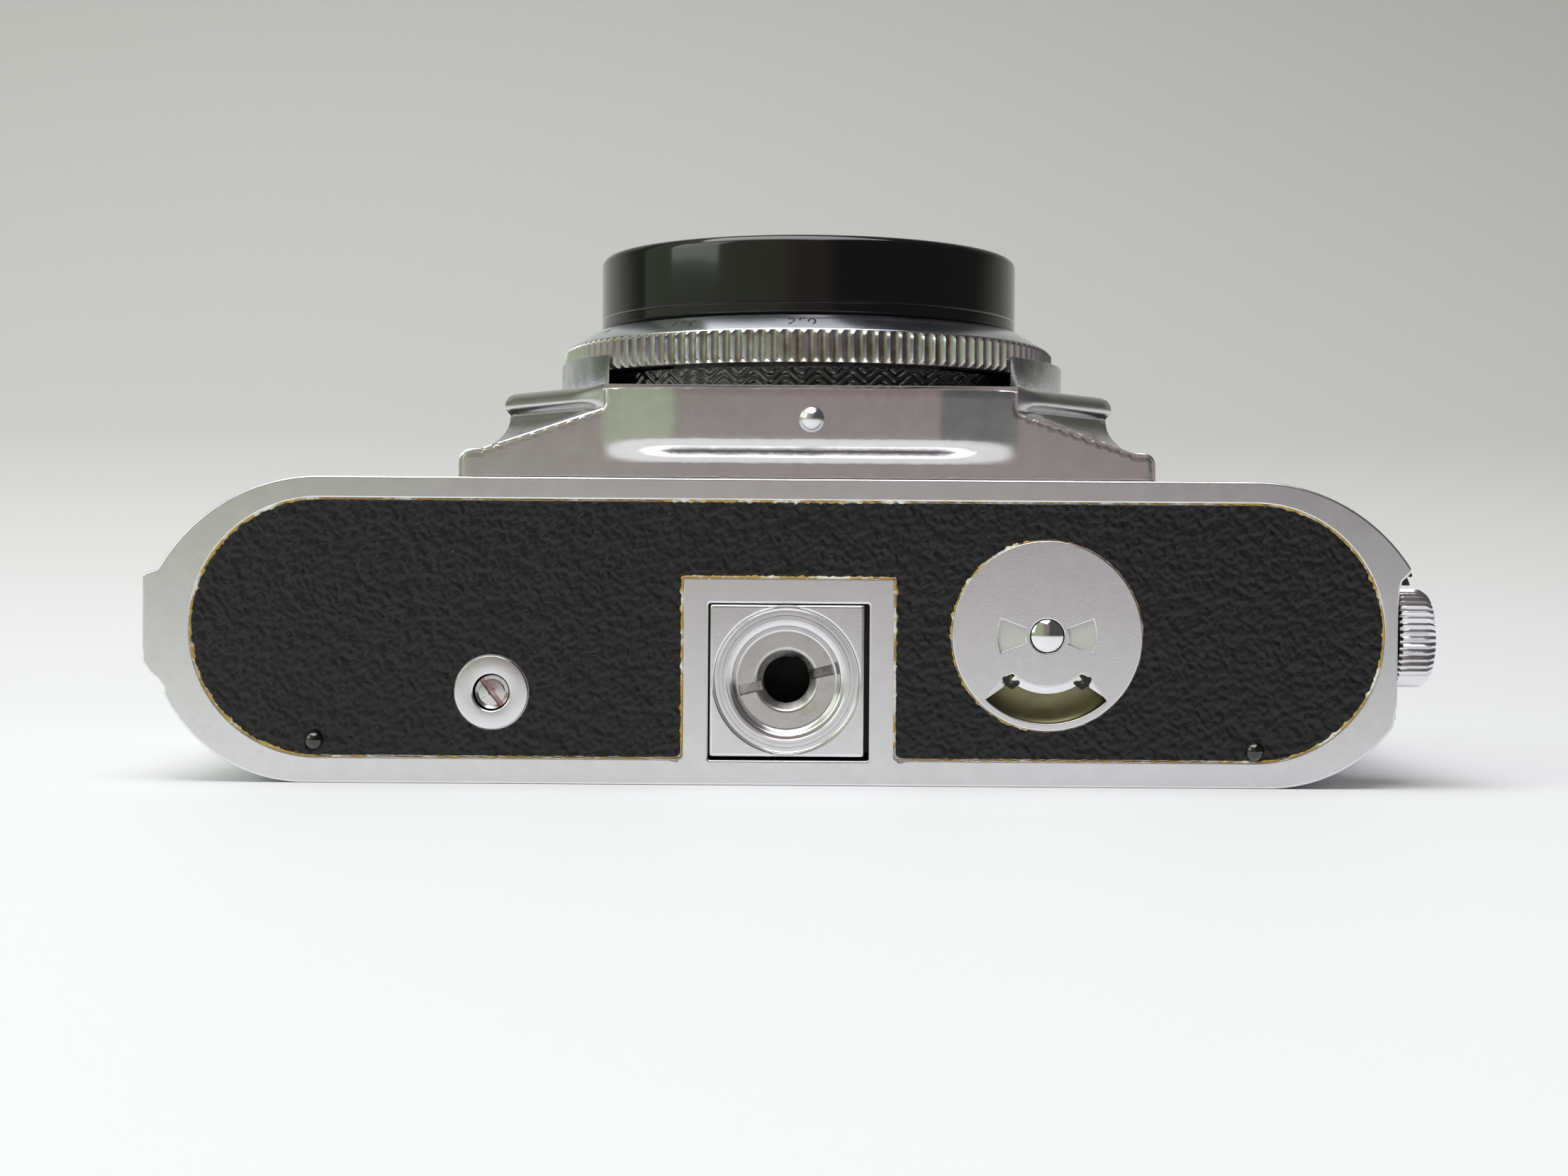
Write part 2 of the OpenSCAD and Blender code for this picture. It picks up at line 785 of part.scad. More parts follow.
// One third of the shutter; three of them close the opening.
module shutter_blade(i) {
    color("#3a3c40") translate([lens_x, lens_y, blade_z + 0.3 * i]) rotate(i * 360 / blade_n)
        linear_extrude(0.16) difference() {
            union() {
                intersection() {
                    circle(11.8);
                    polygon([
                        [-0.4, -0.6], [30, -0.6], [30, 30], [-30 * cos(57), 30 * sin(57)]
                    ]);
                }
                translate([blade_pivot, 0]) circle(1.6);
                rect(9, -0.6, blade_pivot, 1.6);
            }
            translate([blade_pivot, 0]) circle(0.67);
        }
}

chassis_casting();
deck_plate();
base_frame();
film_gate();
front_leather();
front_housing();
front_foot();
tripod_block();
tripod_bush();
knob_collar();
top_cover();
accessory_shoe();
front_windows();
eyepiece_glass();
finder_block();
rangefinder_mirror();
strap_lugs();
shutter_housing();
shutter_bezel();
flash_socket();
back_shell();
base_plate();
base_leather();
back_leather();
rear_feet();
release_eyelet();
dial_bed();
dial_rivet();
pressure_plate();
pressure_spring();
reminder_dial();
release_pin();
rewind_knob();
knob_shaft();
rewind_fork();
winding_knob();
winding_gear();
film_sprocket();
sprocket_gear();
takeup_spool();
counter_dial();
shutter_button();
speed_ring();
speed_scale();
aperture_ring();
focus_ring();
lens_barrel();
lens_elements();
lens_cap();
sector_ring();
iris_blade(0);  // iris_blade_1
iris_blade(1);  // iris_blade_2
iris_blade(2);  // iris_blade_3
iris_blade(3);  // iris_blade_4
iris_blade(4);  // iris_blade_5
shutter_blade(0);  // shutter_blade_1
shutter_blade(1);  // shutter_blade_2
shutter_blade(2);  // shutter_blade_3
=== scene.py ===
"""Looks of a leaf-shutter 35 mm camera that lies on its back, lens up, base towards the viewer.

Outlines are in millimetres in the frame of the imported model; make() turns them into metres.
"""
import math
import random

import bmesh
import bpy
from mathutils import Matrix, Vector, geometry, noise


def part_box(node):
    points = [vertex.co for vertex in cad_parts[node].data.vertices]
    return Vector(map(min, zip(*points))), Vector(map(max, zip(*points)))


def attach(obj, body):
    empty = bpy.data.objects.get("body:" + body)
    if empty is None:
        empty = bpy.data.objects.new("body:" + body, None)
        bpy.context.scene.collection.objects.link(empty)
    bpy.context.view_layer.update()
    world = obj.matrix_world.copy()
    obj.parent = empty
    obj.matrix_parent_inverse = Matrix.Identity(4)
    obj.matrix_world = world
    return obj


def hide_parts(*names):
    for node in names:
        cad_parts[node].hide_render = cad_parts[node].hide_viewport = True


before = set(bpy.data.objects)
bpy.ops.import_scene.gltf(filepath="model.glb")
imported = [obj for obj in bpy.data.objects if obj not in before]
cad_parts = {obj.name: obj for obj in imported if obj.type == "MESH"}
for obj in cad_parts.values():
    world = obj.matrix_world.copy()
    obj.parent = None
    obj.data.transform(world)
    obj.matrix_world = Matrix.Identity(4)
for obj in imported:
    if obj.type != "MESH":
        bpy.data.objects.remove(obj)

MM = 0.001
TAU = 2 * math.pi
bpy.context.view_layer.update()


def mm_box(node):
    low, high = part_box(node)
    return low / MM, high / MM


# ---- places taken from the frame, in millimetres ----

plate_low, plate_high = mm_box("base_plate")
base_y = plate_low.y
leather_y = mm_box("base_leather")[0].y
block_low, block_high = mm_box("tripod_block")
bush_low, bush_high = mm_box("tripod_bush")
bush_x = (bush_low.x + bush_high.x) / 2
bush_z = (bush_low.z + bush_high.z) / 2
dial_low, dial_high = mm_box("reminder_dial")
dial_x = (dial_low.x + dial_high.x) / 2
dial_z = (dial_low.z + dial_high.z) / 2
dial_r = (dial_high.x - dial_low.x) / 2
rivet_low, rivet_high = mm_box("dial_rivet")
pin_low, pin_high = mm_box("release_pin")
pin_x = (pin_low.x + pin_high.x) / 2
pin_z = (pin_low.z + pin_high.z) / 2
eyelet_low = mm_box("release_eyelet")[0]
foot_low, foot_high = mm_box("front_foot")
housing_low, housing_high = mm_box("front_housing")
speed_low, speed_high = mm_box("speed_ring")
scale_low, scale_high = mm_box("speed_scale")
lens_x = (speed_low.x + speed_high.x) / 2
lens_y = (speed_low.y + speed_high.y) / 2
speed_r = (speed_high.x - speed_low.x) / 2
cap_low, cap_high = mm_box("lens_cap")
cap_r = (cap_high.x - cap_low.x) / 2
drum_low, drum_high = mm_box("shutter_housing")
knob_low, knob_high = mm_box("rewind_knob")
knob_y = (knob_low.y + knob_high.y) / 2
knob_z = (knob_low.z + knob_high.z) / 2
knob_r = (knob_high.y - knob_low.y) / 2
winder_low, winder_high = mm_box("winding_knob")
winder_x = (winder_low.x + winder_high.x) / 2
winder_z = (winder_low.z + winder_high.z) / 2
body_top = plate_high.z


# ---- meshes ----

def make(name, verts, faces, material, body, slot, replaces=(), sharp=32):
    """A finished piece from points in millimetres: welded, outward normals, smooth between sharp edges."""
    mesh = bpy.data.meshes.new(name)
    mesh.from_pydata([Vector(v) * MM for v in verts], [], faces)
    bm = bmesh.new()
    bm.from_mesh(mesh)
    bmesh.ops.remove_doubles(bm, verts=bm.verts, dist=2e-7)
    bmesh.ops.dissolve_degenerate(bm, edges=bm.edges, dist=1e-7)
    bmesh.ops.recalc_face_normals(bm, faces=bm.faces)
    bm.to_mesh(mesh)
    bm.free()
    mesh.shade_smooth()
    mesh.set_sharp_from_angle(angle=math.radians(sharp))
    mesh.materials.append(material)
    piece = bpy.data.objects.new(name, mesh)
    bpy.context.scene.collection.objects.link(piece)
    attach(piece, body)
    if replaces:
        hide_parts(*replaces)
    return piece


def add_shade_and_soiling(piece, amount):
    """Painted shade and soiling from 0 to 1 at each point, as amount(x, y, z) in millimetres."""
    field = piece.data.attributes.new("groove", "FLOAT", "POINT")
    field.data.foreach_set("value", [amount(*(v.co / MM)) for v in piece.data.vertices])
    return piece


def arc(cx, cz, r, start, end, steps=24):
    return [(cx + r * math.cos(math.radians(start + (end - start) * i / steps)),
             cz + r * math.sin(math.radians(start + (end - start) * i / steps))) for i in range(steps + 1)]


def circle(cx, cz, r, steps=96):
    return arc(cx, cz, r, 0, 360, steps)[:-1]


def resample(loop, step):
    """The closed loop with points at most step apart, its corners kept."""
    out = []
    for (ax, az), (bx, bz) in zip(loop, loop[1:] + loop[:1]):
        n = max(1, math.ceil(math.hypot(bx - ax, bz - az) / step))
        out += [(ax + (bx - ax) * i / n, az + (bz - az) * i / n) for i in range(n)]
    return out


def inside(x, z, loop):
    hit = False
    for (ax, az), (bx, bz) in zip(loop, loop[1:] + loop[:1]):
        if (az > z) != (bz > z) and x < (bx - ax) * (z - az) / (bz - az) + ax:
            hit = not hit
    return hit


def inset(loop, d):
    """Each point of a closed loop moved d to the left of its direction."""
    out = []
    n = len(loop)
    for i in range(n):
        a, b, c = Vector(loop[i - 1]), Vector(loop[i]), Vector(loop[(i + 1) % n])
        u, v = (b - a).normalized(), (c - b).normalized()
        m = Vector((-u.y - v.y, u.x + v.x))
        scale = max(0.35, m.length_squared / 2)
        out.append((b.x + m.x * d / scale, b.y + m.y * d / scale))
    return out


def oriented(loop, ccw):
    area = sum(a[0] * b[1] - b[0] * a[1] for a, b in zip(loop, loop[1:] + loop[:1]))
    return loop if (area > 0) == ccw else loop[::-1]


def fill(loops, grid=0):
    """Triangles between the first loop and the holes in it, with grid points added inside."""
    points, edges = [], []
    for loop in loops:
        start = len(points)
        points += [Vector(p) for p in loop]
        edges += [(start + i, start + (i + 1) % len(loop)) for i in range(len(loop))]
    if grid:
        zs = [p[1] for p in loops[0]]
        inner = [inset(loop, grid * 0.45) for loop in loops]
        rng = random.Random(7)
        rows = int((max(zs) - min(zs)) / grid)
        for k in range(1, rows + 1):
            z = min(zs) + k * grid
            cuts = []
            for loop in inner:
                for (ax, az), (bx, bz) in zip(loop, loop[1:] + loop[:1]):
                    if (az > z) != (bz > z):
                        cuts.append((bx - ax) * (z - az) / (bz - az) + ax)
            cuts.sort()
            for x0, x1 in zip(cuts[::2], cuts[1::2]):
                n = max(1, int((x1 - x0) / grid))
                for i in range(n):
                    x = x0 + (x1 - x0) * (i + 0.5 + rng.uniform(-0.12, 0.12)) / n
                    points.append(Vector((x, z + grid * rng.uniform(-0.12, 0.12))))
    got = geometry.delaunay_2d_cdt(points, edges, [], 1, 1e-6)
    verts, tris = got[0], got[2]
    keep = []
    for tri in tris:
        cx = sum(verts[i].x for i in tri) / len(tri)
        cz = sum(verts[i].y for i in tri) / len(tri)
        if not any(inside(cx, cz, loop) for loop in loops[1:]):
            keep.append(tuple(tri))
    return [(v.x, v.y) for v in verts], keep


def sheet_faces(loops, surface, thickness, grid=0):
    """Closed sheet: surface(x, z, depth) places a point of the flat outline at a depth below the skin."""
    flat, tris = fill(loops, grid)
    n = len(flat)
    verts = [surface(x, z, 0) for x, z in flat] + [surface(x, z, thickness) for x, z in flat]
    faces = list(tris) + [tuple(i + n for i in reversed(t)) for t in tris]
    count = {}
    for t in tris:
        for a, b in zip(t, t[1:] + t[:1]):
            count[frozenset((a, b))] = count.get(frozenset((a, b)), 0) + 1
    for pair, times in count.items():
        if times == 1:
            a, b = tuple(pair)
            faces.append((a, b, b + n, a + n))
    return verts, faces


def plate_faces(loops, y_front, y_back, edge=0.2, steps=3):
    """Flat plate facing -Y with a rounded front edge on every loop."""
    loops = [oriented(loops[0], True)] + [oriented(loop, False) for loop in loops[1:]]
    rings = [(edge + 0.05, 0.0)]
    rings += [(edge * (1 - math.sin(a)), edge * (1 - math.cos(a)))
              for a in (math.pi / 2 * k / steps for k in range(steps + 1))]
    rings += [(0.0, edge + 0.05), (0.0, y_back - y_front)]
    verts, faces = [], []
    for loop in loops:
        start = len(verts)
        n = len(loop)
        for d, depth in rings:
            verts += [(x, y_front + depth, z) for x, z in (inset(loop, d) if d else loop)]
        for k in range(len(rings) - 1):
            for i in range(n):
                j = (i + 1) % n
                near, far = start + k * n, start + (k + 1) * n
                faces.append((near + i, near + j, far + j, far + i))
    for y, d in ((y_front, rings[0][0]), (y_back, 0)):
        flat, tris = fill([inset(loop, d) if d else loop for loop in loops])
        start = len(verts)
        verts += [(x, y, z) for x, z in flat]
        faces += [tuple(start + i for i in t) for t in tris]
    return verts, faces


def rounded(profile, radius, steps=4):
    """Closed profile with its corners rounded; radius is one number or one for each corner."""
    out = []
    n = len(profile)
    for i, p in enumerate(profile):
        r = radius[i] if isinstance(radius, (list, tuple)) else radius
        a, b, c = Vector(profile[i - 1]), Vector(p), Vector(profile[(i + 1) % n])
        u, v = (a - b), (c - b)
        turn = u.angle(v) if u.length and v.length else math.pi
        if r <= 0 or turn > math.radians(172):
            out.append(tuple(b))
            continue
        cut = min(r / math.tan(turn / 2), u.length * 0.45, v.length * 0.45)
        start, end = b + u.normalized() * cut, b + v.normalized() * cut
        for k in range(steps + 1):
            t = k / steps
            out.append(tuple(start.lerp(b, t).lerp(b.lerp(end, t), t)))
    return out


def lathe_faces(profile, centre, axis, segments=144, ripple=None):
    """Closed profile of (radius, height) turned about an axis through centre: Z, -Y, +Y or X."""
    verts, faces = [], []
    n = len(profile)
    for s in range(segments):
        a = TAU * s / segments
        for r, h in profile:
            if ripple:
                r, h = ripple(a, r, h)
            c, d = r * math.cos(a), r * math.sin(a)
            if axis == "Z":
                verts.append((centre[0] + c, centre[1] + d, centre[2] + h))
            elif axis == "-Y":
                verts.append((centre[0] + c, centre[1] - h, centre[2] + d))
            elif axis == "+Y":
                verts.append((centre[0] + c, centre[1] + h, centre[2] + d))
            else:
                verts.append((centre[0] + h, centre[1] + c, centre[2] + d))
    for s in range(segments):
        t = (s + 1) % segments
        for i in range(n):
            j = (i + 1) % n
            if profile[i][0] < 1e-6 and profile[j][0] < 1e-6:
                continue
            faces.append((s * n + i, s * n + j, t * n + j, t * n + i))
    return verts, faces


def join(*parts):
    verts, faces = [], []
    for v, f in parts:
        start = len(verts)
        verts += v
        faces += [tuple(start + i for i in face) for face in f]
    return verts, faces


# ---- materials ----

def put(node, values):
    for socket, value in values.items():
        node.inputs[socket].default_value = value


def material(name, colour, metallic=0.0, rough=0.4, spread=0.08, grain=900.0, bump=0.15,
             tint=None, tint_scale=120.0, tint_share=(0.45, 0.7), coat=0.0, ior=1.5,
             transmission=0.0, groove=None, mottle=0.86, bump_mm=0.01):
    """Surface with noise in its colour, roughness and relief; groove tints where that attribute is high."""
    mat = bpy.data.materials.new(name)
    mat.use_nodes = True
    tree = mat.node_tree
    nodes, links = tree.nodes, tree.links
    shader = nodes["Principled BSDF"]
    put(shader, {"Metallic": metallic, "IOR": ior, "Coat Weight": coat, "Coat Roughness": 0.04,
                 "Transmission Weight": transmission})
    where = nodes.new("ShaderNodeTexCoord").outputs["Object"]

    def noise_node(scale, detail=4.0, roughness=0.6):
        n = nodes.new("ShaderNodeTexNoise")
        put(n, {"Scale": scale, "Detail": detail, "Roughness": roughness})
        links.new(where, n.inputs["Vector"])
        return n.outputs["Fac"]

    def remap(value, low, high, out_low, out_high):
        n = nodes.new("ShaderNodeMapRange")
        put(n, {"From Min": low, "From Max": high, "To Min": out_low, "To Max": out_high})
        links.new(value, n.inputs["Value"])
        return n.outputs["Result"]

    def mixed(a, b, factor):
        n = nodes.new("ShaderNodeMix")
        n.data_type = "RGBA"
        n.inputs[0].default_value = 0.0
        links.new(factor, n.inputs[0])
        for socket, value in ((n.inputs[6], a), (n.inputs[7], b)):
            if isinstance(value, tuple):
                socket.default_value = (*value, 1)
            else:
                links.new(value, socket)
        return n.outputs[2]

    darker = tuple(c * mottle for c in colour)
    base = mixed(colour, darker, remap(noise_node(grain * 0.35), 0.35, 0.7, 0, 1))
    if tint:
        base = mixed(base, tint, remap(noise_node(tint_scale, 5.0, 0.7), tint_share[0], tint_share[1], 0, 1))
    if groove:
        mask = nodes.new("ShaderNodeAttribute")
        mask.attribute_name = "groove"
        rough_mask = remap(noise_node(260.0), 0.3, 0.62, 0.15, 1.0)
        both = nodes.new("ShaderNodeMath")
        both.operation = "MULTIPLY"
        links.new(mask.outputs["Fac"], both.inputs[0])
        links.new(rough_mask, both.inputs[1])
        base = mixed(base, groove, both.outputs[0])
    links.new(base, shader.inputs["Base Color"])
    links.new(remap(noise_node(grain * 0.22, 5.0), 0.3, 0.72, rough - spread, rough + spread),
              shader.inputs["Roughness"])
    relief = nodes.new("ShaderNodeBump")
    put(relief, {"Strength": bump, "Distance": bump_mm * MM})
    links.new(noise_node(grain * 4, 2.0), relief.inputs["Height"])
    links.new(relief.outputs["Normal"], shader.inputs["Normal"])
    return mat


satin = material("satin_chrome", (0.83, 0.83, 0.85), 1.0, 0.25, 0.02, 2600, 0.6, mottle=0.95, bump_mm=0.010)
# A darker, slightly pink copy of the satin chrome for the housing: painted shade and a painted pink
# reflection.
satin_painted_shade_and_reflection = material("satin_painted_shade_and_reflection", (0.74, 0.725, 0.73), 1.0, 0.235, 0.02, 2600, 0.6, mottle=0.93,
                         bump_mm=0.009)
turned = material("turned_chrome", (0.80, 0.80, 0.82), 1.0, 0.22, 0.03, 1500, 0.3, mottle=0.95)
polished = material("polished_chrome", (0.84, 0.84, 0.86), 1.0, 0.09, 0.04, 700, 0.1, mottle=0.96,
                    bump_mm=0.008)
mottled = material("mottled_chrome", (0.62, 0.63, 0.66), 1.0, 0.20, 0.08, 900, 0.8, bump_mm=0.03,
                   tint=(0.40, 0.41, 0.43), tint_scale=520.0)
fluted = material("fluted_chrome", (0.80, 0.80, 0.82), 1.0, 0.24, 0.05, 1200, 0.3, mottle=0.93,
                  groove=(0.24, 0.185, 0.12))
# Blue-tinted chrome for the speed cone: the blue is a painted reflection.
chrome_painted_blue_reflection = material("chrome_painted_blue_reflection", (0.86, 0.89, 0.97), 1.0, 0.17, 0.03, 700, 0.1, mottle=0.95)
leather = material("black_leather", (0.0055, 0.0055, 0.0065), 0.0, 0.25, 0.10, 2600, 0.9, bump_mm=0.04,
                   tint=(0.010, 0.010, 0.011), tint_scale=900.0)
leather.node_tree.nodes["Principled BSDF"].inputs["Specular IOR Level"].default_value = 0.42
lacquer = material("black_lacquer", (0.0035, 0.0035, 0.004), 0.0, 0.10, 0.04, 900, 0.05, coat=1.0,
                   bump_mm=0.006)
cap_lacquer = material("cap_lacquer", (0.004, 0.004, 0.004), 0.0, 0.13, 0.03, 900, 0.1, coat=0.3,
                       bump_mm=0.006)
glue = material("old_glue", (0.50, 0.34, 0.08), 0.2, 0.35, 0.12, 2600, 0.8, bump_mm=0.06,
                tint=(0.86, 0.84, 0.74), tint_scale=330.0, tint_share=(0.5, 0.6))
# The steel's near-black groove colour is painted shade, used in the tripod bush's bore and slot.
steel = material("steel", (0.62, 0.61, 0.60), 1.0, 0.32, 0.06, 1500, 0.5, mottle=0.92, bump_mm=0.014,
                 tint=(0.46, 0.41, 0.28), tint_scale=420.0, tint_share=(0.58, 0.8),
                 groove=(0.014, 0.012, 0.011))
pin_steel = material("pin_steel", (0.66, 0.63, 0.62), 1.0, 0.14, 0.05, 1500, 0.3,
                     tint=(0.36, 0.16, 0.14), tint_scale=900.0, tint_share=(0.56, 0.66),
                     groove=(0.20, 0.05, 0.05))
brass = material("brass", (0.62, 0.45, 0.20), 1.0, 0.25, 0.06, 1500, 0.3, mottle=0.93)
bronze = material("dial_bronze", (0.20, 0.19, 0.105), 1.0, 0.36, 0.08, 2400, 0.6, bump_mm=0.014)
cast = material("cast_alloy", (0.50, 0.50, 0.51), 1.0, 0.48, 0.06, 1500, 0.6, bump_mm=0.03)
blackened = material("blackened_alloy", (0.020, 0.020, 0.022), 0.1, 0.55, 0.08, 2000, 0.6, bump_mm=0.03)
black_plastic = material("black_plastic", (0.012, 0.012, 0.013), 0.0, 0.38, 0.08, 1600, 0.3, bump_mm=0.015)
white = material("dial_white", (0.62, 0.62, 0.59), 0.0, 0.45, 0.08, 1500, 0.3, mottle=0.92)
blade = material("blade_steel", (0.16, 0.165, 0.18), 1.0, 0.36, 0.08, 1500, 0.3)
silvered = material("silvered", (0.86, 0.86, 0.87), 1.0, 0.03, 0.02, 400, 0.02, mottle=0.98, bump_mm=0.004)
clear = material("clear_glass", (0.86, 0.90, 0.92), 0.0, 0.03, 0.02, 300, 0.02, transmission=1.0, mottle=0.98,
                 bump_mm=0.003)
coated = material("coated_glass", (0.62, 0.60, 0.82), 0.0, 0.03, 0.02, 300, 0.02, transmission=1.0,
                  ior=1.6, mottle=0.98, bump_mm=0.003)
ink = material("scale_ink", (0.008, 0.008, 0.010), 0.0, 0.35, 0.08, 1200, 0.2)


# ---- base plate and its covering ----

flat_half = 47.6
front_r = 18.8
back_r = 16.0
back_shift = 1.4
panel_r = 13.1
panel_z = 15.82
field_left, field_right, field_top = -10.6, 11.0, 21.15
feet = {"left": (-48.0, 4.3), "right": (47.6, 3.8)}
eyelet_r = 3.85


def round_end(side, steps=40):
    """Right or left end of the body: one arc from the front face and one from the back face."""
    meet = 21.63
    low = math.degrees(math.asin((meet - back_r) / back_r))
    high = math.degrees(math.asin((meet - (body_top - front_r)) / front_r))
    lower = arc(flat_half + back_shift, back_r, back_r, -90, low, steps)
    upper = arc(flat_half, body_top - front_r, front_r, high, 90, steps)
    points = lower + upper[1:]
    return points if side > 0 else [(-x, z) for x, z in reversed(points)]


def plate_outline():
    """Base plate with the worn flat on the right end and the finger tab on the left end."""
    right = [p for p in round_end(1) if p[1] < 6.4]
    right += [(62.1, 8.6), (62.15, 18.1), (62.3, 20.2), (62.55, 21.2), (63.3, 21.9)]
    right += [p for p in round_end(1) if p[1] > 22.4]
    tab = [(-64.0, 21.6), (-65.4, 21.15)] + [(plate_low.x, 20.7), (plate_low.x, 12.2)]
    tab += [(-64.75, 11.05), (-63.95, 10.4), (-63.3, 9.55)]
    left = [p for p in round_end(-1) if p[1] > 21.7] + tab + [p for p in round_end(-1) if p[1] < 9.0]
    return right + left


def panel_outline(d=0.0):
    """The stadium with the bare field of the tripod block cut out of its lower edge."""
    left, right, top = field_left - d, field_right + d, field_top + d
    low = panel_z - panel_r + d
    r = panel_r - d
    corner, tight = 0.5, 0.25
    return (arc(flat_half, panel_z, r, -90, 90, 48) + arc(-flat_half, panel_z, r, 90, 270, 48)
            + [(left - corner, low)] + arc(left - corner, low + corner, corner, -90, 0, 5)
            + arc(left + tight, top - tight, tight, 180, 90, 4)
            + arc(right - tight, top - tight, tight, 90, 0, 4)
            + arc(right + corner, low + corner, corner, 180, 270, 5) + [(right + corner, low)])


recess_y = base_y + 0.5
square_hole = [(-7.95, 2.58), (8.39, 2.58), (8.39, 18.5), (-7.95, 18.5)]
outline = resample(plate_outline(), 1.5)
dial_seat = circle(dial_x, dial_z, dial_r - 0.36)
pin_hole = circle(pin_x, pin_z, 2.65, 48)


def build_plate():
    """The bare field belongs to the rim, so the rim's hole is the leather panel itself."""
    panel = resample(panel_outline(0.0), 0.8)
    hole = rounded(square_hole, 0.22)
    rim = plate_faces([outline, panel, hole], base_y, recess_y + 0.01, 0.2)
    floor_plate = plate_faces([inset(oriented(outline, True), 0.03), rounded(square_hole, 0.22), dial_seat,
                               pin_hole], recess_y, plate_high.y, 0.03, 1)
    return make("base_plate_shell", *join(rim, floor_plate), satin, "back_cover", "satin_chrome",
                ["base_plate"])


def pebbles(x, z, seed=0.0):
    """Height of the grain in millimetres: rounded cells with creases between them."""
    size = 0.86
    p = Vector((x / size, z / size * 1.15, seed))
    wobble = noise.noise(p * 0.8) * 0.9
    d = noise.voronoi(p + Vector((wobble, wobble * 0.6, 0)))[0]
    crease = min(1.0, (d[1] - d[0]) / 0.36)
    fine = noise.noise(Vector((x * 3.1, z * 3.1, seed + 9)))
    return 0.21 * (crease * (2 - crease) - 1) + 0.07 * fine


def base_leather():
    gap = 0.16
    hole_r = 0.86
    foot_holes = [circle(x, z, hole_r, 20) for x, z in feet.values()]
    loops = [oriented(resample(panel_outline(gap), 0.35), True)]
    loops += [oriented(resample(c, 0.35), False) for c in
              [circle(dial_x, dial_z, dial_r + 0.12, 160), circle(pin_x, pin_z, eyelet_r, 64)] + foot_holes]

    def skin(x, z, depth):
        return (x, leather_y - 0.02 - pebbles(x, z) + depth, z)

    verts, faces = sheet_faces(loops, skin, 0.42, 0.23)
    return make("base_leather_grain", verts, faces, leather, "back_cover", "black_leather",
                ["base_leather"], 75)


def glue_bead(loop, width, share, height=0.1, seed=1.0):
    """Ragged line of old glue along the edge of the covering."""
    loop = resample(loop, 0.22)
    n = len(loop)
    verts, faces = [], []
    inner = inset(loop, 1.0)
    for i, (x, z) in enumerate(loop):
        ux, uz = inner[i][0] - x, inner[i][1] - z
        size = math.hypot(ux, uz) or 1
        ux, uz = ux / size, uz / size
        ragged = 0.55 + 0.9 * noise.noise(Vector((x * 1.7, z * 1.7, seed))) \
            + 0.35 * noise.noise(Vector((x * 6, z * 6, seed + 3)))
        w = max(0.02, width * share(x, z) * ragged)
        section = ((-0.7 * w, -0.10), (-0.25 * w, 0.03 + 0.3 * w), (0.45 * w, 0.02 + 0.2 * w), (w, -0.10))
        for off, lift in section:
            verts.append((x + ux * off, base_y - min(lift, height), z + uz * off))
    for i in range(n):
        j = (i + 1) % n
        for k in range(4):
            m = (k + 1) % 4
            faces.append((i * 4 + k, i * 4 + m, j * 4 + m, j * 4 + k))
    return verts, faces


def glue_lines():
    def strong_ends(x, z):
        ends = max(0.0, (abs(x) - 42) / 14)
        right = 0.25 if x > 0 else 0.45
        field = 0.75 if abs(x) < 12.5 and z > 4 else 0.0
        return min(1.25, 0.35 + ends * (0.4 + right) + field)

    panel = glue_bead(oriented(panel_outline(0.03), True), 0.30, share=strong_ends)
    ring = glue_bead(oriented(circle(dial_x, dial_z, dial_r + 0.05, 120), False), 0.26, seed=5.0,
                     share=lambda x, z: 1.15 if x < dial_x - 2 else (0.5 if z > dial_z else 0.25))
    return make("glue_lines", *join(panel, ring), glue, "back_cover", "brass", (), 60)


# ---- pieces on the base ----

def tripod_block():
    """Square block with a bevelled face, turned rings and a rounded wall down to the bush."""
    face_y = block_low.y
    cz = bush_z
    corners = [(block_low.x, block_low.z), (block_high.x, block_low.z),
               (block_high.x, block_high.z), (block_low.x, block_high.z)]
    square = rounded(corners, 0.32, 3)
    r_face = 7.32
    plate = plate_faces([square, circle(bush_x, cz, r_face, 160)], face_y, face_y + 1.2, 0.28)
    profile = [(r_face + 0.02, 0.0), (r_face + 0.02, 1.1), (5.83, 1.1), (5.83, 10.0),
               (5.62, 10.0), (5.62, 1.0), (4.95, 0.96), (4.95, 0.86), (5.12, 0.84),
               (5.28, 0.70), (5.40, 0.48), (5.50, 0.28), (5.66, 0.14), (5.86, 0.07), (6.05, 0.07),
               (6.12, 0.02), (6.42, 0.02), (6.47, 0.09), (6.54, 0.09), (6.60, 0.02), (6.82, 0.02),
               (6.87, 0.08), (6.93, 0.08), (6.98, 0.02), (7.18, 0.02), (7.22, 0.05), (7.27, 0.05)]
    ring = lathe_faces([(r, -h) for r, h in profile], (bush_x, face_y, cz), "-Y", 160)
    sleeve = block_box_faces(block_low, block_high, face_y + 1.15)
    return make("tripod_block_face", *join(plate, ring, sleeve), turned, "camera_body", "satin_chrome",
                ["tripod_block"])


def block_box_faces(low, high, y_front):
    """Hollow rest of the tripod block behind its face."""
    square = [(low.x, low.z), (high.x, low.z), (high.x, high.z), (low.x, high.z)]
    return plate_faces([square, circle(bush_x, bush_z, 5.9, 96)], y_front, high.y, 0.03, 1)


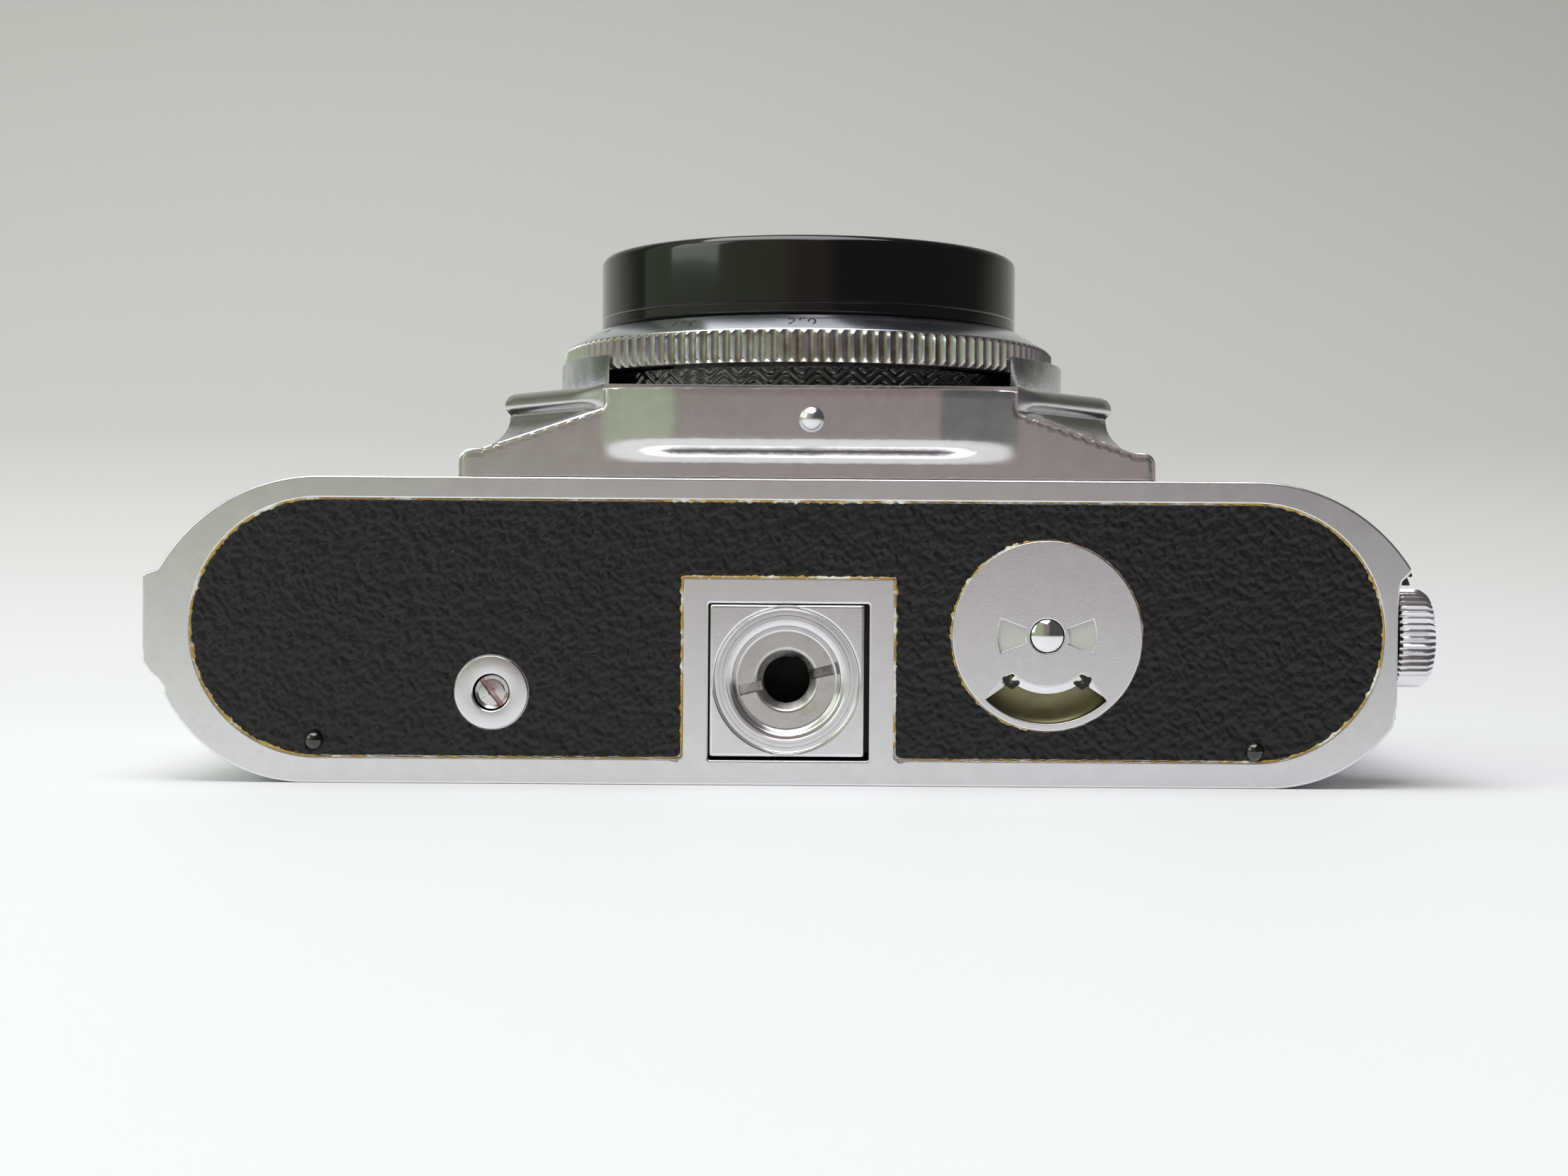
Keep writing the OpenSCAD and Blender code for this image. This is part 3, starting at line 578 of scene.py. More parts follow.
def tripod_bush():
    """Threaded bush: bevelled mouth, thread ridges inside, and a coin slot across the face."""
    face = bush_low.y
    bore = 2.36
    pitch = 1.27
    outer = 4.94
    depth = 9.0
    ridges = []
    k = 1.0
    while k < depth - 0.5:
        ridges += [(bore + 0.55, k + pitch * 0.15), (bore + 0.02, k + pitch * 0.55),
                   (bore + 0.55, k + pitch * 0.95)]
        k += pitch
    profile = [(outer, 0.0), (outer, depth), (bore + 0.5, depth)] + ridges[::-1] + [
        (bore + 0.02, 0.78), (3.12, 0.06), (3.2, 0.0)]
    slot_half = 0.5
    slot_depth = 0.75
    tilt = math.radians(13)

    def cut(a, r, h):
        off = abs(math.sin(a - tilt)) * r
        if h > -slot_depth and off < slot_half and r > bore + 0.3:
            return r, -slot_depth
        return r, h

    turned_profile = [(r, -h) for r, h in dense_profile(profile, 0.22, 0.9)]
    verts, faces = lathe_faces(turned_profile, (bush_x, face, bush_z), "-Y", 720, cut)

    # Painted shade: the near-black groove tint fills the bore deep inside and the floor of the coin slot, and
    # darkens the bevelled mouth a little.
    def shade_and_soiling_amount(x, y, z):
        r = math.hypot(x - bush_x, z - bush_z)
        if r < bore + 0.7 and y > face + 0.55:
            return 1.0
        return 0.9 if r < outer - 0.1 and y > face + 0.2 else (0.34 if r < 3.1 else 0.0)

    bush = make("tripod_bush_thread", verts, faces, steel, "camera_body", "steel", ["tripod_bush"], 40)
    return add_shade_and_soiling(bush, shade_and_soiling_amount)


def dense_profile(profile, step, reach):
    """Extra points on the stretches near the face, so that a slot can be cut in them."""
    out = []
    n = len(profile)
    for i, (r, h) in enumerate(profile):
        r2, h2 = profile[(i + 1) % n]
        out.append((r, h))
        if min(h, h2) < reach:
            m = int(math.hypot(r2 - r, h2 - h) / step)
            out += [(r + (r2 - r) * k / (m + 1), h + (h2 - h) * k / (m + 1)) for k in range(1, m + 1)]
    return out


def sector(r0, r1, half, mid, steps=28):
    outer = arc(dial_x, dial_z, r1, mid - half, mid + half, steps)
    inner = arc(dial_x, dial_z, r0, mid + half, mid - half, steps)
    return outer + inner


def reminder_dial():
    """Film reminder disc with a window and a bow tie of two shallow fields."""
    face = dial_low.y
    rim = circle(dial_x, dial_z, dial_r - 0.02, 180)
    tip_x, tip_z = 3.98, 4.02
    window = (arc(dial_x, dial_z, 8.93, -134, -47, 40) + [(dial_x + tip_x, dial_z - tip_z)]
              + arc(dial_x, dial_z, 5.2, -48, -132, 30) + [(dial_x - tip_x, dial_z - tip_z)])
    ties = [sector(2.3, 4.96, 20, mid, 12) for mid in (0, 180)]
    disc = plate_faces([rim, window, circle(dial_x, dial_z, 1.74, 48)] + ties, face, face + 0.28, 0.1)
    back = plate_faces([circle(dial_x, dial_z, dial_r - 0.05, 180), sector(5.0, 8.95, 47, -90, 40),
                        circle(dial_x, dial_z, 1.9, 48)],
                       face + 0.26, dial_high.y, 0.02, 1)
    slopes = []
    for sign in (-1, 1):
        shape = ((4.3, -4.25, 0.03), (6.45, -6.6, 0.03), (4.35, -5.2, 0.5))
        top = [(dial_x + sign * x, face + y, dial_z + z) for x, z, y in shape]
        slopes.append((top + [(x, y + 0.12, z) for x, y, z in top],
                       [(0, 1, 2), (3, 5, 4), (0, 3, 4, 1), (1, 4, 5, 2), (2, 5, 3, 0)]))
    strip, facets = [], []
    count = 18
    for i in range(count + 1):
        a = math.radians(-129 + 78 * i / count)
        wave = 0.07 if i % 2 else 0.0
        for r, y in ((5.17, 0.05 + wave), (5.86, 0.42 - wave), (5.86, 0.55), (5.17, 0.55)):
            strip.append((dial_x + r * math.cos(a), face + y, dial_z + r * math.sin(a)))
    for i in range(count):
        for k in range(4):
            m = (k + 1) % 4
            facets.append((4 * i + k, 4 * i + m, 4 * i + 4 + m, 4 * i + 4 + k))
    facets += [(0, 1, 2, 3), (4 * count, 4 * count + 3, 4 * count + 2, 4 * count + 1)]
    teeth = [(strip, facets)]
    disc_piece = make("dial_disc", *join(disc, back, *slopes, *teeth), satin, "dial", "satin_chrome",
                      ["reminder_dial"])
    fields = plate_faces([circle(dial_x, dial_z, 5.2, 96), circle(dial_x, dial_z, 1.9, 64)],
                         face + 0.2, face + 0.4, 0.02, 1)
    make("dial_fields", *fields, white, "dial", "dial_white", (), 40)
    marks = []
    for sign in (-1, 1):
        shape = [(4.44, -4.12), (3.78, -4.07), (3.78, -4.83), (2.93, -4.65), (2.79, -4.92), (3.55, -5.45),
                 (4.14, -5.10), (4.56, -4.39)]
        loop = [(dial_x + sign * x, dial_z + z) for x, z in shape]
        marks.append(plate_faces([oriented(loop, True)], face - 0.015, face + 0.25, 0.02, 1))
    make("dial_marks", *join(*marks), ink, "dial", "black_lacquer", (), 40)
    return disc_piece


def dial_bed():
    """Concave bronze trough under the dial's window."""
    y = mm_box("dial_bed")[0].y
    middle, half_width, deep, steps = 7.1, 1.95, 0.72, 20
    trough = [(middle - half_width * math.cos(a), 0.12 + deep * math.sin(a))
              for a in (math.pi * k / steps for k in range(steps + 1))]
    profile = [(9.2, 0.0), (9.2, 1.05), (0.0, 1.05), (0.0, 0.3), (5.0, 0.3)] + trough
    verts, faces = lathe_faces([(r, -h) for r, h in profile], (dial_x, y, dial_z), "-Y", 160)
    return make("dial_trough", verts, faces, bronze, "back_cover", "dial_bronze", ["dial_bed"], 50)


def dome(name, x, z, r, tip_y, base_plane, mat, body, slot, replaces, collar=0.0):
    """Rivet or foot with a domed head that faces -Y."""
    height = base_plane - tip_y
    bulge = min(height, r) * 0.92
    big = (r * r + bulge * bulge) / (2 * bulge)
    top = math.asin(min(1.0, r / big))
    head = [(big * math.sin(top * k / 14), height - big * (1 - math.cos(top * k / 14))) for k in range(15)]
    profile = head + [(r + collar, height - bulge - 0.02), (r + collar, 0.0), (0.0, 0.0)]
    verts, faces = lathe_faces(profile, (x, base_plane, z), "-Y", 72)
    return make(name, verts, faces, mat, body, slot, replaces, 50)


def release_set():
    """Eyelet washer with its hole, and the slotted end of the release pin."""
    face = eyelet_low.y
    washer = [(3.72, -0.35), (3.72, 0.0), (2.0, 0.0), (1.88, -0.1), (1.88, -0.9), (2.6, -0.9), (2.6, -0.35)]
    verts, faces = lathe_faces(rounded(washer, 0.12), (pin_x, face, pin_z), "-Y", 128)
    make("release_washer", verts, faces, turned, "back_cover", "satin_chrome", ["release_eyelet"])
    pin_face = pin_low.y
    slot_half, slot_depth = 0.24, 0.45
    angle = math.radians(-52)

    def cut(a, r, h):
        off = abs(math.sin(a - angle)) * r
        return (r, -slot_depth) if h > -slot_depth and off < slot_half else (r, h)

    profile = dense_profile([(0.0, 0.06), (1.3, 0.1), (1.7, 0.3), (1.7, 9.0), (0.0, 9.0)], 0.12, 0.5)
    verts, faces = lathe_faces([(r, -h) for r, h in profile], (pin_x, pin_face, pin_z), "-Y", 300, cut)
    pin = make("release_pin_slot", verts, faces, pin_steel, "release", "steel", ["release_pin"], 40)
    # The floor of the slot takes the dark red groove tint.
    add_shade_and_soiling(pin, lambda x, y, z: 1.0 if y > pin_face + 0.4 else 0.0)


# ---- housing ----

def smooth_step(a, b, t):
    t = min(1.0, max(0.0, (t - a) / (b - a)))
    return t * t * (3 - 2 * t)


def housing_front():
    """Face towards the viewer: two wings and a raised block with slanted cheeks."""
    lx, rx = housing_low.x, housing_high.x
    low_z = housing_low.z
    plane = housing_low.y
    left, right = -19.0, 23.5
    top = housing_high.z - 0.2
    wing = 33.0
    shape = ([(lx, low_z), (rx, low_z), (rx, wing)] + arc(rx - 1.15, wing, 1.15, 0, 80, 8)
             + [(35.4, 34.2), (right + 0.3, 38.25), (right, 38.6), (right, top)]
             + [(left, top), (left, 38.6), (left - 0.3, 38.35), (-31.4, 34.25)]
             + arc(lx + 1.15, wing, 1.15, 100, 180, 8))
    loop = oriented(resample(shape, 0.4), True)

    def rise(x, z):
        fx = min(smooth_step(left, left + 7.4, x) * 0.35 + min(1, max(0, (x - left) / 7.4)) * 0.65,
                 smooth_step(right, right - 8.0, x) * 0.35 + min(1, max(0, (right - x) / 8.0)) * 0.65)
        fz = smooth_step(33.2, 35.0, z)
        crown = 0.0
        if z > top - 0.55:
            t = (z - top + 0.55) / 0.55
            crown = 0.55 * (1 - math.sqrt(max(0.0, 1 - t * t)))
        return 1.62 * fx * fz - crown

    def skin(x, z, depth):
        if depth:
            return (x, plane + 0.75, z)
        d = min(0.3, edge_distance(x, z, loop))
        lip = 0.3 - math.sqrt(max(0.0, 0.09 - (0.3 - d) ** 2))
        return (x, plane - rise(x, z) + (lip if z < top - 0.6 else 0), z)

    return sheet_faces([loop], skin, 1.0, 0.42)


def edge_distance(x, z, loop):
    return min(math.hypot(x - ax, z - az) for ax, az in loop)


def housing_body():
    """Wings, the concave flare above them, the bead round the platform, and the platform's top."""
    lx, rx = housing_low.x, housing_high.x
    front, rear = housing_low.y + 0.06, housing_high.y
    low_z, top_z = housing_low.z, housing_high.z
    counts = (40, 14, 30, 40, 30, 14)

    def polygon(corners):
        out = []
        for k, n in enumerate(counts):
            a, b = corners[k], corners[(k + 1) % len(corners)]
            out += [(a[0] + (b[0] - a[0]) * i / n, a[1] + (b[1] - a[1]) * i / n) for i in range(n)]
        return out

    def shape(left, right, side_l, side_r, corner, back):
        """Corners in order: front left, front right, right shoulder, rear right, rear left, left shoulder."""
        return [(left, front), (right, front), (side_r, corner),
                (side_r, back), (side_l, back), (side_l, corner)]

    foot = polygon(shape(lx, rx, lx, rx, -34, rear))
    ledge = polygon(shape(-31.4, 35.4, -32.6, 36.6, -31, rear - 0.2))
    crest = polygon(shape(-18.9, 23.5, -29.9, 34.2, -25, rear - 0.6))
    levels = [(foot, low_z), (foot, 32.9)]
    for k in range(1, 5):
        t = k / 4
        a = math.radians(90 * t)
        levels.append(([(p[0] + (q[0] - p[0]) * (1 - math.cos(a)), p[1] + (q[1] - p[1]) * (1 - math.cos(a)))
                        for p, q in zip(foot, ledge)], 32.9 + 1.25 * math.sin(a)))
    steps = 12
    for k in range(1, steps + 1):
        t = k / steps
        ring = []
        for (px, py), (qx, qy) in zip(ledge, crest):
            free = smooth_step(front, front + 6, py + (qy - py) * t)
            power = 1 + 1.1 * free
            s = 1 - (1 - t) ** power
            ring.append((px + (qx - px) * s, py + (qy - py) * s))
        levels.append((ring, 34.15 + (38.3 - 34.15) * t))

    def grown(loop, d):
        out = []
        for x, y in loop:
            keep = smooth_step(front, front + 3.0, y)
            side = 1 if x > lens_x else -1
            out.append((x + side * d * min(1.0, abs(x - lens_x) / 14) * keep,
                        y + (d * 0.5 if y > 0 else -d * 0.5 * keep)))
        return out

    for d, z in ((-0.10, 38.42), (0.10, 38.62), (0.42, 39.0), (0.55, 39.5), (0.45, 40.0), (0.1, 40.5),
                 (-0.45, 40.8), (-1.1, top_z), (-2.4, top_z)):
        levels.append((grown(crest, d), z))
    n = sum(counts)

    def lens_circle(r):
        out = []
        for x, y in crest:
            a = math.atan2(y - lens_y, x - lens_x)
            out.append((lens_x + r * math.cos(a), lens_y + r * math.sin(a)))
        return out

    def throat():
        out = []
        for x, y in crest:
            a = math.atan2(y - lens_y, x - lens_x)
            scale = 1 / max(abs(math.cos(a)) / 18.5, abs(math.sin(a)) / 12.5)
            out.append((lens_x + scale * math.cos(a), lens_y + scale * math.sin(a)))
        return out

    for r, z in ((27.5, top_z), (25.6, top_z), (25.56, 36.75)):
        levels.append((lens_circle(r), z))
    levels += [(throat(), 36.75), (throat(), low_z)]
    verts, faces = [], []
    for loop, z in levels:
        verts += [(x, y, z) for x, y in loop]
    for k in range(len(levels)):
        m = (k + 1) % len(levels)
        for i in range(n):
            j = (i + 1) % n
            faces.append((k * n + i, k * n + j, m * n + j, m * n + i))
    return verts, faces


def housing():
    return make("housing_shell", *join(housing_body(), housing_front()), satin_painted_shade_and_reflection, "camera_body",
                "satin_chrome", ["front_housing"], 38)


# ---- shutter and lens ----

def shutter_drum():
    """Black drum with a wrinkled wave pattern on its side."""
    r = (drum_high.x - drum_low.x) / 2
    z0 = drum_low.z
    side_top = 43.6 - z0
    wave_length = 3.5
    waves = round(TAU * r / wave_length)
    rows = 0.95
    relief = 0.3
    bore, room, barrel_room = 10.5, 23.3, 19.7
    profile = [(bore, 0.0), (r, 0.0)]
    steps = 72
    profile += [(r, side_top * k / steps) for k in range(1, steps + 1)]
    profile += [(22.9, side_top), (22.85, drum_high.z - z0 - 4.6), (21.35, drum_high.z - z0 - 4.5),
                (21.3, drum_high.z - z0), (barrel_room, drum_high.z - z0), (barrel_room, 3.9), (bore, 3.9),
                (bore, 2.9), (room, 2.9), (room, 0.7), (bore, 0.7)]

    def ripple(a, radius, h):
        if radius > r - 0.01 and 0.1 < h < side_top - 0.1:
            phase = h / rows + 0.55 * math.sin(waves * a) + 0.08 * math.sin(7 * a)
            return radius - relief + relief * abs(math.sin(math.pi * phase)) ** 0.7, h
        return radius, h

    verts, faces = lathe_faces(profile, (lens_x, lens_y, z0), "Z", 1100, ripple)
    return make("shutter_drum_waves", verts, faces, lacquer, "camera_body", "black_lacquer",
                ["shutter_housing"], 60)


def speed_ring():
    """Ring with concave flutes between sharp ridges, and chamfers at both ends."""
    flutes = 134
    per = 10
    height = speed_high.z - speed_low.z
    chamfer = 0.5
    flute_depth = 0.62
    inner = 22.97
    heights = [chamfer * k / 6 for k in range(7)]
    heights += [height - chamfer + chamfer * k / 6 for k in range(7)]
    profile = [(speed_r, h) for h in heights] + [(inner, height), (inner, 0.0)]

    def ripple(a, r, h):
        if r < speed_r - 0.01:
            return r, h
        f = (a / TAU * flutes) % 1.0
        bowl = 1 - (2 * f - 1) ** 2
        limit = speed_r - max(0.0, chamfer - h, h - height + chamfer)
        return min(limit, speed_r - flute_depth * bowl ** 0.85), h

    verts, faces = lathe_faces(profile, (lens_x, lens_y, speed_low.z), "Z", flutes * per, ripple)

    # Darker brown towards the bottoms of the flutes, through the groove tint.
    def shade_and_soiling_amount(x, y, z):
        r = math.hypot(x - lens_x, y - lens_y)
        return min(1.0, max(0.0, (speed_r - 0.3 - r) / 0.32)) if r > inner + 0.5 else 0.0

    piece = make("speed_ring_flutes", verts, faces, fluted, "speed", "satin_chrome", ["speed_ring"], 24)
    return add_shade_and_soiling(piece, shade_and_soiling_amount)


def speed_scale():
    """Polished cone with the shutter speeds: ticks and numbers only."""
    z0, z1 = scale_low.z, scale_high.z
    r0, r1 = speed_r - 0.55, 24.5
    profile = [(r0, 0.0), (r0 - 0.08, 0.12), (r1 + 0.1, z1 - z0 - 0.05), (r1 - 0.1, z1 - z0), (23.0, z1 - z0),
               (23.0, 0.0)]
    verts, faces = lathe_faces(rounded(profile, 0.06, 2), (lens_x, lens_y, z0), "Z", 220)
    make("speed_cone", verts, faces, chrome_painted_blue_reflection, "speed", "polished_chrome", ["speed_scale"], 50)
    speeds = ("500", "250", "125", "60", "30", "15", "8", "4", "2", "1")
    slope = math.atan2(z1 - z0, r0 - r1)
    mid_r, mid_z = (r0 + r1) / 2, (z0 + z1) / 2
    half = 0.10
    box_faces = [(0, 1, 3, 2), (4, 6, 7, 5), (0, 4, 5, 1), (2, 3, 7, 6), (1, 5, 7, 3), (0, 2, 6, 4)]
    parts = []
    for i, word in enumerate(speeds):
        a = math.radians(-62 - 30 * i)
        curve = bpy.data.curves.new("mark", "FONT")
        curve.body = word
        curve.size = 2.1 * MM
        curve.extrude = 0.03 * MM
        curve.align_x = "CENTER"
        curve.align_y = "CENTER"
        holder = bpy.data.objects.new("mark", curve)
        bpy.context.scene.collection.objects.link(holder)
        bpy.context.view_layer.update()
        mesh = bpy.data.meshes.new_from_object(holder.evaluated_get(bpy.context.evaluated_depsgraph_get()))
        bpy.data.objects.remove(holder)
        tilt = Matrix.Rotation(a + math.pi / 2, 4, "Z") @ Matrix.Rotation(slope, 4, "X")
        middle = Vector((lens_x + mid_r * math.cos(a), lens_y + mid_r * math.sin(a), mid_z))
        place = Matrix.Translation(middle * MM)
        mesh.transform(place @ tilt)
        parts.append(([tuple(v.co / MM) for v in mesh.vertices], [tuple(p.vertices) for p in mesh.polygons]))
        bpy.data.meshes.remove(mesh)
        for k in (-0.5, 0.5):
            b = a + math.radians(15 * k)
            ends = [(r0 - d, z0 + d * math.tan(slope)) for d in (0.3, 1.1)]
            tx, ty = -math.sin(b) * half, math.cos(b) * half
            tick = [(lens_x + r * math.cos(b) + s * tx, lens_y + r * math.sin(b) + s * ty, z + lift)
                    for r, z in ends for s in (-1, 1) for lift in (-0.05, 0.035)]
            parts.append((tick, box_faces))
    return make("speed_numbers", *join(*parts), ink, "speed", "black_lacquer", (), 40)


def lens_cap():
    """Push-on cap in one gloss lacquer: a stepped band at the mouth, the side, a rounded rim and a shallow
    pressed face.
    """
    height = cap_high.z - cap_low.z
    r = cap_r
    inner = 22.99
    profile = [(inner, 0.0), (r - 0.32, 0.0), (r - 0.02, 0.28), (r - 0.02, 1.15), (r - 0.1, 1.25), (r, 1.4),
               (r, height - 1.0)]
    profile += [(r - 1.0 + math.cos(math.radians(a)), height - 1.0 + math.sin(math.radians(a)))
                for a in range(9, 91, 9)]
    profile += [(r - 3.4, height), (r - 3.7, height - 0.12), (r - 4.6, height - 0.38),
                (r - 5.4, height - 0.42), (0.0, height - 0.42), (0.0, height - 1.25),
                (inner, height - 1.25)]
    verts, faces = lathe_faces(profile, (lens_x, lens_y, cap_low.z), "Z", 220)
    return make("lens_cap_shell", verts, faces, cap_lacquer, "cap", "black_lacquer", ["lens_cap"], 30)


# ---- knobs ----

def knurl(ridges, start_r, low, high, power):
    """Ripple that cuts ridges into the rim beyond start_r, between two heights."""
    def ripple(a, r, h):
        if r > start_r and low < h < high:
            f = (a / TAU * ridges) % 1.0
            return r - 0.3 * (1 - abs(2 * f - 1) ** power), h
        return r, h
    return ripple


def rewind_knob():
    """Thick coin on the end of the body, with ridges along its rim and a bevelled outer corner."""
    width = knob_high.x - knob_low.x
    ridges = round(TAU * knob_r / 0.72)
    profile = [(1.55, 0.0), (knob_r - 0.35, 0.0), (knob_r, 0.3), (knob_r, width * 0.3), (knob_r, width * 0.6),
               (knob_r, width - 0.75), (knob_r - 0.45, width - 0.12), (knob_r - 0.7, width), (2.6, width),
               (2.3, width - 0.25), (0.0, width - 0.25), (0.0, width - 0.7), (1.55, width - 0.75)]

    ripple = knurl(ridges, knob_r - 0.5, 0.05, width - 0.05, 1.4)
    verts, faces = lathe_faces(profile, (knob_low.x, knob_y, knob_z), "X", ridges * 8, ripple)
    return make("rewind_knob_ridges", verts, faces, turned, "end_knob", "polished_chrome",
                ["rewind_knob"], 28)


def winding_knob():
    """Knurled knob on the top cover, with a dished face."""
    r = (winder_high.x - winder_low.x) / 2
    skirt = winder_high.y - 4.65
    height = winder_high.y - skirt
    ridges = 84
    profile = [(0.0, 0.0), (r - 0.4, 0.0), (r, 0.4), (r, 1.5), (r, 2.8), (r, height - 0.9),
               (r - 0.5, height - 0.25), (r - 0.9, height), (7.0, height), (6.6, height - 0.3),
               (3.2, height - 0.45), (0.0, height - 0.48)]

    ripple = knurl(ridges, r - 0.45, 0.1, height - 0.5, 1.5)
    knob = lathe_faces(profile, (winder_x, skirt, winder_z), "+Y", ridges * 8, ripple)
    shaft_r, shaft_top = 3.0, skirt - winder_low.y + 0.1
    shaft = lathe_faces([(0.0, 0.0), (shaft_r, 0.0), (shaft_r, shaft_top), (0.0, shaft_top)],
                        (winder_x, winder_low.y, winder_z), "+Y", 72)
    return make("winding_knob_ridges", *join(knob, shaft), turned, "winder", "satin_chrome",
                ["winding_knob"], 28)


# ---- covering of the ends and the back ----

def end_leather(side):
    """Pebbled covering round one end, from the housing to the back shell."""
    node_low, node_high = mm_box("front_leather")
    y0, y1 = node_low.y, node_high.y
    start = 38.2 if side > 0 else 34.2
    path = [(start + (flat_half - start) * k / 30, body_top) for k in range(30)]
    path += [p for p in reversed(round_end(1, 160)) if p[1] > node_low.z]
    if side > 0:
        path = [p for p in path if p[1] > 21.55] + [(62.28, 21.3), (62.28, node_low.z)]
    path = [Vector((side * x, z)) for x, z in path]
    lengths = [0.0]
    for a, b in zip(path, path[1:]):
        lengths.append(lengths[-1] + (b - a).length)
    total = lengths[-1]

    def at(s):
        s = min(max(s, 0.0), total - 1e-6)
        lo, hi = 0, len(lengths) - 1
        while hi - lo > 1:
            mid = (lo + hi) // 2
            lo, hi = (mid, hi) if lengths[mid] <= s else (lo, mid)
        t = (s - lengths[lo]) / max(1e-9, lengths[hi] - lengths[lo])
        p = path[lo].lerp(path[hi], t)
        d = (path[hi] - path[lo]).normalized()
        n = Vector((-d.y, d.x)) * side
        return p, n

    def skin(s, y, depth):
        p, n = at(s)
        h = pebbles(s, y, seed=4.0 + side) if not depth else 0.0
        return (p.x + n.x * (h - depth), y, p.y + n.y * (h - depth))

    if side > 0:
        low_s = next(s for s, p in zip(lengths, path) if p.y < 21.7)
        loop = [(0, y0), (low_s, y0), (low_s, -23.3), (total, -23.3), (total, y1), (0, y1)]
    else:
        loop = [(0, y0), (total, y0), (total, y1), (0, y1)]
    loop = oriented(resample(loop, 0.4), True)
    return sheet_faces([loop], skin, 0.42, 0.42)


def coverings():
    make("end_leather_grain", *join(end_leather(-1), end_leather(1)), leather, "camera_body", "black_leather",
         ["front_leather"], 75)
    low, high = mm_box("back_leather")
    loop = oriented(resample([(low.x, low.y), (high.x, low.y), (high.x, high.y), (low.x, high.y)], 0.5), True)

    def skin(x, y, depth):
        h = min(0.0, pebbles(x, y, seed=2.0)) if not depth else 0.0
        return (x, y, low.z - h + depth)

    make("back_leather_grain", *sheet_faces([loop], skin, high.z - low.z, 0.5), leather, "back_cover",
         "black_leather", ["back_leather"], 75)


# ---- CAD nodes that keep their shape ----

def finish_nodes():
    kept = {
        "chassis_casting": blackened, "deck_plate": cast, "base_frame": blackened, "film_gate": steel,
        "knob_collar": black_plastic, "top_cover": satin, "accessory_shoe": polished, "front_windows": clear,
        "eyepiece_glass": clear, "finder_block": clear, "rangefinder_mirror": silvered,
        "strap_lugs": polished, "shutter_bezel": mottled, "flash_socket": polished, "back_shell": satin,
        "pressure_plate": blackened, "pressure_spring": steel, "knob_shaft": steel, "rewind_fork": steel,
        "winding_gear": brass, "film_sprocket": steel, "sprocket_gear": brass, "takeup_spool": black_plastic,
        "counter_dial": white, "shutter_button": polished, "aperture_ring": turned, "focus_ring": turned,
        "lens_barrel": polished, "lens_elements": coated, "sector_ring": brass,
    }
    kept.update({f"iris_blade_{i}": blade for i in range(1, 6)})
    kept.update({f"shutter_blade_{i}": blade for i in range(1, 4)})
    wide = {"top_cover": 0.35, "back_shell": 0.2, "accessory_shoe": 0.15, "strap_lugs": 0.25,
            "shutter_button": 0.3, "lens_barrel": 0.15, "shutter_bezel": 0.12}
    for name, mat in kept.items():
        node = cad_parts[name]
        node.data.materials.clear()
        node.data.materials.append(mat)
        weld = node.modifiers.new("weld", "WELD")
        weld.merge_threshold = 1e-6
        bevel = node.modifiers.new("edge", "BEVEL")
        bevel.width = wide.get(name, 0.08) * MM
        bevel.segments = 2
        bevel.limit_method = "ANGLE"
        bevel.angle_limit = math.radians(40)
        bevel.harden_normals = True


# ---- stage ----

def colour_ramp(nodes, stops):
    """Ramp through (position, colour) stops; the first two set its ends."""
    ramp = nodes.new("ShaderNodeValToRGB")
    elements = ramp.color_ramp.elements
    for i, (position, colour) in enumerate(stops):
        element = elements[i] if i < 2 else elements.new(position)
        element.position = position
        element.color = (*colour, 1)
    return ramp


def stage():
    """White table that sweeps up into a wall; the wall is painted darker towards the top as painted shade."""
    bend, r = 0.16, 0.30
    profile = [(-7.0, 0.0), (-0.6, 0.0), (bend, 0.0)]
    profile += [(bend + r * math.sin(math.radians(a)), r * (1 - math.cos(math.radians(a))))
                for a in range(4, 78, 4)]
    last = profile[-1]
    profile.append((last[0] + 0.3, last[1] + 1.35))
    verts, faces = [], []
    wall_half, floor_half = 2.4, 7.0
    for y, z in profile:
        half = floor_half if y < 0 else wall_half
        verts += [(-half, y, z), (half, y, z)]
    for i in range(len(profile) - 1):
        faces.append((2 * i, 2 * i + 1, 2 * i + 3, 2 * i + 2))
    mesh = bpy.data.meshes.new("table")
    mesh.from_pydata(verts, [], faces)
    mesh.shade_smooth()
    table = bpy.data.objects.new("table", mesh)
    bpy.context.scene.collection.objects.link(table)
    mat = bpy.data.materials.new("table_white")
    mat.use_nodes = True
    nodes, links = mat.node_tree.nodes, mat.node_tree.links
    shader = nodes["Principled BSDF"]
    shader.inputs["Roughness"].default_value = 0.6
    where = nodes.new("ShaderNodeTexCoord").outputs["Object"]
    split = nodes.new("ShaderNodeSeparateXYZ")
    links.new(where, split.inputs[0])
    # Painted shade: the colour darkens with height up the wall, standing in for the light falling off.
    ramp = colour_ramp(nodes, ((0.0, (0.90, 0.90, 0.93)), (0.35, (0.275, 0.28, 0.255)),
                               (0.06, (0.56, 0.56, 0.545))))
    links.new(split.outputs["Z"], ramp.inputs["Fac"])
    links.new(ramp.outputs["Color"], shader.inputs["Base Color"])
    mesh.materials.append(mat)


def light(name, size, power, place, target, colour=(1, 1, 1), size_y=None):
    data = bpy.data.lights.new(name, "AREA")
    data.shape = "RECTANGLE"
    data.size = size
    data.size_y = size_y or size
    data.energy = power
    data.color = colour
    lamp = bpy.data.objects.new(name, data)
    lamp.location = place
    lamp.rotation_euler = (Vector(target) - Vector(place)).to_track_quat("-Z", "Y").to_euler()
    bpy.context.scene.collection.objects.link(lamp)


